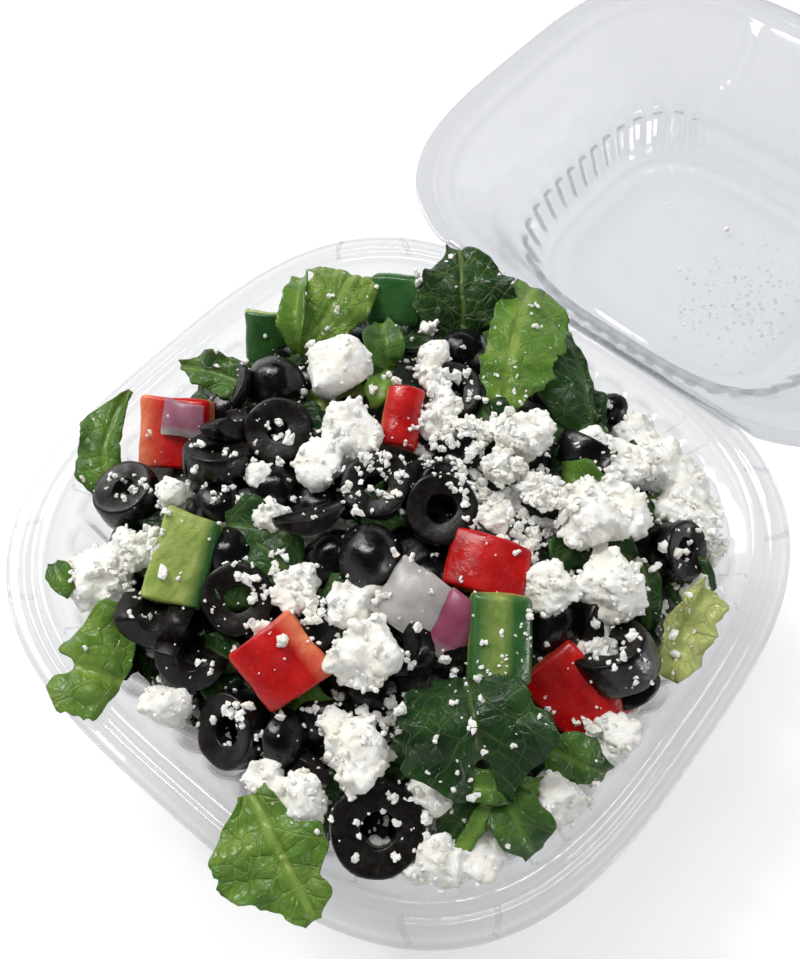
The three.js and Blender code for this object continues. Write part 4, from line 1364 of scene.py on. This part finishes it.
def side_leaves(draw):
    """Leaves pressed flat on the inside of the wall, all round."""
    leaves = []
    for k in range(46):
        angle = 2 * math.pi * (k + 0.8 * draw.random()) / 46
        low = draw.uniform(3, 22)
        high = min(low + draw.uniform(12, 20), 37)
        drift = draw.uniform(-0.16, 0.16)
        inset = draw.uniform(0.4, 2.4)
        rib = [wall_point(angle + drift * t, low + (high - low) * t, inset) for t in (0, 0.5, 1)]
        out = (math.cos(angle), math.sin(angle), 0.3)
        half = draw.uniform(5, 9)
        widths = (0.5 * half, half, 0.9 * half, 0.3 * half)
        pale = draw.choice((0.15, 0.25, 0.35, 0.5, 0.6, 0.85))
        leaves.append(blade(rib, widths, widths, out, 0.05, 0.7, pale, 0.5, 0, 0, 60 + k, 1.3))
    return leaves


def filler_leaves(draw):
    """Scraps of leaf low in the gaps between the larger pieces."""
    leaves = []
    while len(leaves) < 60:
        x, y = draw.uniform(-62, 62), draw.uniform(-62, 62)
        if squareness(x, y) > 61:
            continue
        z = float(core_height(x, y)) + draw.uniform(-2.5, 0.5)
        turn = draw.uniform(0, 2 * math.pi)
        reach = Vector((math.cos(turn), math.sin(turn), 0)) * draw.uniform(5, 8)
        middle = Vector((x, y, z + 1.2))
        rib = [middle - reach - Vector((0, 0, 2)), middle, middle + reach - Vector((0, 0, 2))]
        half = draw.uniform(4, 7)
        widths = (0.4 * half, half, 0.8 * half, 0.3 * half)
        facing = (draw.uniform(-0.5, 0.7), draw.uniform(-0.8, 0.3), 1)
        pale = draw.choice((0.05, 0.1, 0.15, 0.2, 0.3, 0.5))
        leaves.append(blade(rib, widths, widths, facing, 0.1, 0.9, pale, 0.35, 0, 0, 130 + len(leaves), 1.3))
    return leaves


def filler_olives(draw):
    """Olives under and between the others, and some against the wall."""
    forms = [olive_slice_form(), olive_end_form()]
    olives = []
    while len(olives) < 34:
        x, y = draw.uniform(-56, 56), draw.uniform(-56, 56)
        if squareness(x, y) > 55:
            continue
        radius, height = draw.uniform(5.6, 7.2), draw.uniform(5, 8)
        olive = copy_of(draw.choice(forms), Matrix.Diagonal((radius, radius, height, 1)))
        dented(olive, 0.35, 4.5, 80 + len(olives))
        tilt = seat(x, y, draw.uniform(-1.5, 1.5), draw.uniform(0, 80), draw.uniform(0, 360), 0)
        olive.data.transform(tilt)
        olives.append(olive)
    for k in range(14):
        angle = 2 * math.pi * (k + draw.random() * 0.7) / 14
        radius, height = draw.uniform(5.8, 7.2), draw.uniform(5, 8)
        olive = copy_of(draw.choice(forms), Matrix.Diagonal((radius, radius, height, 1)))
        lean = Quaternion((-math.sin(angle), math.cos(angle), 0), draw.uniform(0.7, 1.9))
        at = Matrix.Translation(wall_point(angle, draw.uniform(9, 31), height * 0.4))
        olive.data.transform(at @ lean.to_matrix().to_4x4())
        olives.append(olive)
    throw_away(forms)
    for olive in olives:
        move_points(olive.data, pressed(points_of(olive.data)))
    return olives


def wall_dice(draw, count, kind, seed):
    """Diced pepper against the inside of the wall."""
    parts = []
    for k in range(count):
        angle = 2 * math.pi * (k + draw.random()) / count
        width, length, thick = draw.uniform(10, 14), draw.uniform(10, 14), draw.uniform(4, 5.5)
        dice = diced(width, length, thick, 0.8, seed + k)
        depth = points_of(dice.data)[:, 2]
        set_attribute(dice.data, kind, smooth_step(-0.1, 0.35, depth / thick))
        lean = Quaternion((-math.sin(angle), math.cos(angle), 0), draw.uniform(1.1, 1.9))
        spin = Quaternion((0, 0, 1), draw.uniform(0, 6.28))
        at = Matrix.Translation(wall_point(angle, draw.uniform(8, 30), 1.6))
        dice.data.transform(at @ (lean @ spin).to_matrix().to_4x4())
        move_points(dice.data, pressed(points_of(dice.data)))
        parts.append(dice)
    return parts


def make_core(finish):
    """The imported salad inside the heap, a little smaller than the heap itself."""
    segments, relief = 96, 1.6
    angle = 2 * np.pi * np.arange(segments) / segments
    rows = [(46, 1.8), (49.5, 4), (51.5, 9), (56.8, 30)]
    rings = []
    for half, z in rows:
        r = outline_radius(angle, half, CORNER_POWER)
        rings.append(np.c_[r * np.cos(angle), r * np.sin(angle), np.full(segments, float(z))])
    for share in (0.97, 0.9, 0.8, 0.7, 0.6, 0.5, 0.4, 0.3, 0.2, 0.1):
        r = outline_radius(angle, share * CORE_HALF, CORNER_POWER)
        x, y = r * np.cos(angle), r * np.sin(angle)
        rings.append(np.c_[x, y, core_height(x, y) - CORE_DROP])
    points = list(np.concatenate(rings)) + [(0, 0, 1.8), (0, 0, RIM_Z + CROWN - CORE_DROP)]
    faces = []
    for k in range(len(rings) - 1):
        for i in range(segments):
            j = (i + 1) % segments
            a, b = k * segments, (k + 1) * segments
            faces.append((a + i, a + j, b + j, b + i))
    last = (len(rings) - 1) * segments
    bottom, top = len(points) - 2, len(points) - 1
    faces += [(bottom, (i + 1) % segments, i) for i in range(segments)]
    faces += [(top, last + i, last + (i + 1) % segments) for i in range(segments)]
    core = piece_from("core", points, faces)
    finish_with(core, "SUBSURF", levels=1, render_levels=1)
    dented(core, relief, 5, 1)
    move_points(core.data, pressed(points_of(core.data)))
    return joined("salad_core", [core], finish)


# ---- crumbs ------------------------------------------------------------------------
def surface_of(pieces):
    """A tree for casting rays at finished pieces, in metres, and where each one's faces end."""
    points, faces, ends = [], [], []
    for piece in pieces:
        start = len(points)
        points += [v.co.copy() for v in piece.data.vertices]
        faces += [tuple(i + start for i in f.vertices) for f in piece.data.polygons]
        ends.append(len(faces))
    return BVHTree.FromPolygons(points, faces), ends


FINE_HEAPS = [
    # x, y, spread, count: patches of finely crumbled feta
    (3, 20, 9, 150),
    (13, 17, 8, 400),
    (22, 19, 8, 260),
    (-10, 28, 5, 40),
    (-4, 12, 7, 60),
    (10, 8, 6, 60),
    (24, 8, 6, 60),
    (-8, -32, 8, 60),
    (28, 36, 8, 60),
    (46, 22, 8, 60),
    (42, -46, 8, 60),
    (-36, -46, 7, 60),
    (24, -38, 6, 50),
    (56, -12, 5, 40),
    (52, 40, 6, 50),
    (-31, -8, 6, 26),
    (-37, -19, 5, 22),
    (-49, -34, 4, 40),
    (3, -56, 5, 40),
    (36, -52, 4, 14),
    (-4, -43, 8, 22),
    (-14, 22, 8, 30),
    (-6, -4, 6, 80),
    (5, -32, 5, 40),
    (-33, -48, 5, 30),
    (52, 0, 6, 26),
]
SCATTERED, CLUSTERS = 1050, 75


def make_crumbs(pieces, kept):
    """Crumbs that landed on whatever lies uppermost, and the share of them each piece keeps."""
    draw = random.Random(23)
    tree, ends = surface_of(pieces)
    form, faces = ball_form(1)
    cloud = Gathering()

    def drop(x, y, r):
        found, normal, face, _ = tree.ray_cast(Vector((x * MM, y * MM, 0.12)), Vector((0, 0, -1)))
        if found is None or found.z < 0.030 or normal.z < 0.05:
            return
        if draw.random() > kept[bisect.bisect_right(ends, face)]:
            return
        middle = np.array(found) / MM + np.array(normal) * r * 0.3
        for _ in range(1 + int(1.3 * r + draw.random() * 1.2)):
            at = middle + r * 0.7 * np.array([draw.uniform(-1, 1) for _ in range(3)])
            cloud.add(crumb_form(form, draw, r * draw.uniform(0.7, 1.1)) + at, faces)

    for _ in range(SCATTERED):
        x, y = draw.uniform(-64, 64), draw.uniform(-64, 64)
        drop(x, y, 0.22 + 0.9 * draw.random() ** 3.2)
    for _ in range(CLUSTERS):
        x, y = draw.uniform(-62, 62), draw.uniform(-62, 62)
        spread = draw.uniform(1.0, 3.2)
        for _ in range(draw.randrange(5, 17)):
            drop(draw.gauss(x, spread), draw.gauss(y, spread), 0.25 + 0.8 * draw.random() ** 2.2)
    for x, y, spread, count in FINE_HEAPS:
        for _ in range(count):
            r = 0.35 + 1.0 * draw.random() ** 1.7
            drop(draw.gauss(x, spread / 2), draw.gauss(y, spread / 2), r)
    return cloud.piece("crumbs")


# ---- stage -------------------------------------------------------------------------
CAMERA_AT = (66.04, -91.52, 254.05)
CAMERA_AZIMUTH, CAMERA_ELEVATION, CAMERA_ROLL = 36.66, 59.68, 3.03
CAMERA_LENS = 41.78
ROOM_LIGHT = 0.46
SIDE_REFLECTION = 0.95
TOP_REFLECTION = 0.05


def make_camera():
    az, el, roll = (math.radians(a) for a in (CAMERA_AZIMUTH, CAMERA_ELEVATION, CAMERA_ROLL))
    back = Vector((math.sin(az) * math.cos(el), -math.cos(az) * math.cos(el), math.sin(el)))
    level = (-back).cross(Vector((0, 0, 1))).normalized()
    upright = level.cross(-back)
    right = math.cos(roll) * level + math.sin(roll) * upright
    up = math.cos(roll) * upright - math.sin(roll) * level
    data = bpy.data.cameras.new("camera")
    data.lens = CAMERA_LENS
    data.clip_start = 0.005
    camera = bpy.data.objects.new("camera", data)
    turn = Matrix((right, up, back)).transposed().to_4x4()
    camera.matrix_world = Matrix.Translation(Vector(CAMERA_AT) * MM) @ turn
    bpy.context.scene.collection.objects.link(camera)
    bpy.context.scene.camera = camera


def area_light(name, at, aim, size, power, colour, roll=0):
    data = bpy.data.lights.new(name, "AREA")
    data.shape = "RECTANGLE"
    data.size, data.size_y = size
    data.energy = power
    data.color = colour
    lamp = bpy.data.objects.new(name, data)
    lamp.location = at
    turn = (Vector(aim) - Vector(at)).to_track_quat("-Z", "Y")
    lamp.rotation_euler = (turn @ Quaternion((0, 0, 1), math.radians(roll))).to_euler()
    bpy.context.scene.collection.objects.link(lamp)
    return lamp


def make_stage():
    bpy.context.scene.view_settings.view_transform = "Standard"
    table = lay("plane", size=6, location=(0, 0, -0.0003))
    table.name = "table"
    table.data.transform(table.matrix_world)
    table.matrix_world = Matrix.Identity(4)
    table.data.materials.append(table_finish())
    soft_room()
    area_light("key", (-0.62, 0.02, 0.62), (0, 0, 0.04), (0.26, 0.86), 4.4, (1, 0.985, 0.96))
    area_light("window", (-0.52, -0.08, 0.70), (0, 0, 0.04), (0.09, 0.09), 1.5, (1, 0.99, 0.97))
    strip = area_light("strip", (1.05, 0.33, 0.20), (-0.04, 0.13, 0.01), (0.76, 0.10), 3.4, (1, 1, 1), -24)
    strip.visible_diffuse = False
    card = area_light("gloss_card", (-0.32, 0.15, 0.95), (0, 0, 0.04), (0.46, 0.09), 2.6, (1, 1, 1))
    card.visible_diffuse = False
    above = area_light("top", (0.1, 0.35, 0.95), (0, 0, 0.04), (0.6, 0.5), 2.6, (0.98, 0.99, 1))
    above.visible_glossy = False
    bpy.context.scene.cycles.transparent_max_bounces = 24


def soft_room():
    """Even light all round, which mirrors dimly overhead and more brightly to the sides."""
    world = bpy.data.worlds.new("soft_room")
    world.use_nodes = True
    nodes, links = world.node_tree.nodes, world.node_tree.links
    background = nodes["Background"]
    background.inputs["Color"].default_value = (0.965, 0.98, 1.0, 1)
    split = nodes.new("ShaderNodeSeparateXYZ")
    links.new(nodes.new("ShaderNodeTexCoord").outputs["Generated"], split.inputs[0])
    mirrored = nodes.new("ShaderNodeMapRange")
    mirrored.inputs["From Min"].default_value = 0.10
    mirrored.inputs["From Max"].default_value = 0.50
    mirrored.inputs["To Min"].default_value = SIDE_REFLECTION
    mirrored.inputs["To Max"].default_value = TOP_REFLECTION
    links.new(split.outputs["Z"], mirrored.inputs["Value"])
    strength = nodes.new("ShaderNodeMapRange")
    strength.inputs["To Min"].default_value = ROOM_LIGHT
    links.new(nodes.new("ShaderNodeLightPath").outputs["Is Glossy Ray"], strength.inputs["Value"])
    links.new(mirrored.outputs["Result"], strength.inputs["To Max"])
    links.new(strength.outputs["Result"], background.inputs["Strength"])
    bpy.context.scene.world = world


# ---- putting it together -----------------------------------------------------------
make_camera()
make_stage()
plastic = clear_plastic("clear_plastic", (0.965, 0.967, 0.972), (0.91, 0.915, 0.922), 0.035, 0.22)
misted = clear_plastic("misted_plastic", (0.855, 0.862, 0.880), (0.94, 0.945, 0.955), 0.085, 0.09)
make_tray(plastic)
make_lid(misted)
make_hinge(plastic)
make_droplets(water())

filler = random.Random(41)
core = make_core(core_painted_shade_finish())
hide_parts("salad")
leaf_parts = make_lettuce(None) + side_leaves(filler) + filler_leaves(filler)
lettuce = joined("lettuce", leaf_parts, lettuce_finish())
olives = joined("olives", make_olives(None) + filler_olives(filler), olive_finish())
reds = make_peppers(RED_PEPPER, 10) + wall_dice(filler, 6, "skin", 200)
red = joined("red_pepper", reds, pepper_finish(
    "red_pepper", [(0.34, 0.002, 0.004), (0.52, 0.008, 0.007)], [(0.62, 0.09, 0.04), (0.78, 0.24, 0.11), (0.85, 0.45, 0.27)]))
greens = make_peppers(GREEN_PEPPER, 30) + wall_dice(filler, 6, "skin", 230)
green = joined("green_pepper", greens, pepper_finish(
    "green_pepper", [(0.020, 0.090, 0.020), (0.045, 0.145, 0.034)], [(0.16, 0.26, 0.04), (0.36, 0.43, 0.11), (0.52, 0.56, 0.25)]))
onions = joined("red_onion", make_onion(RED_ONION, 50) + wall_dice(filler, 4, "purple", 260), onion_finish())
feta = feta_finish()
lumps = joined("feta_lumps", make_feta(), feta)
make_lid_specks(feta)
landing = {core: 1, lettuce: 0.28, olives: 0.6, red: 0.3, green: 0.7, onions: 0.5, lumps: 0.6}
crumbs = joined("feta_crumbs", [make_crumbs(list(landing), list(landing.values()))], feta)
crumbs.data.shade_flat()
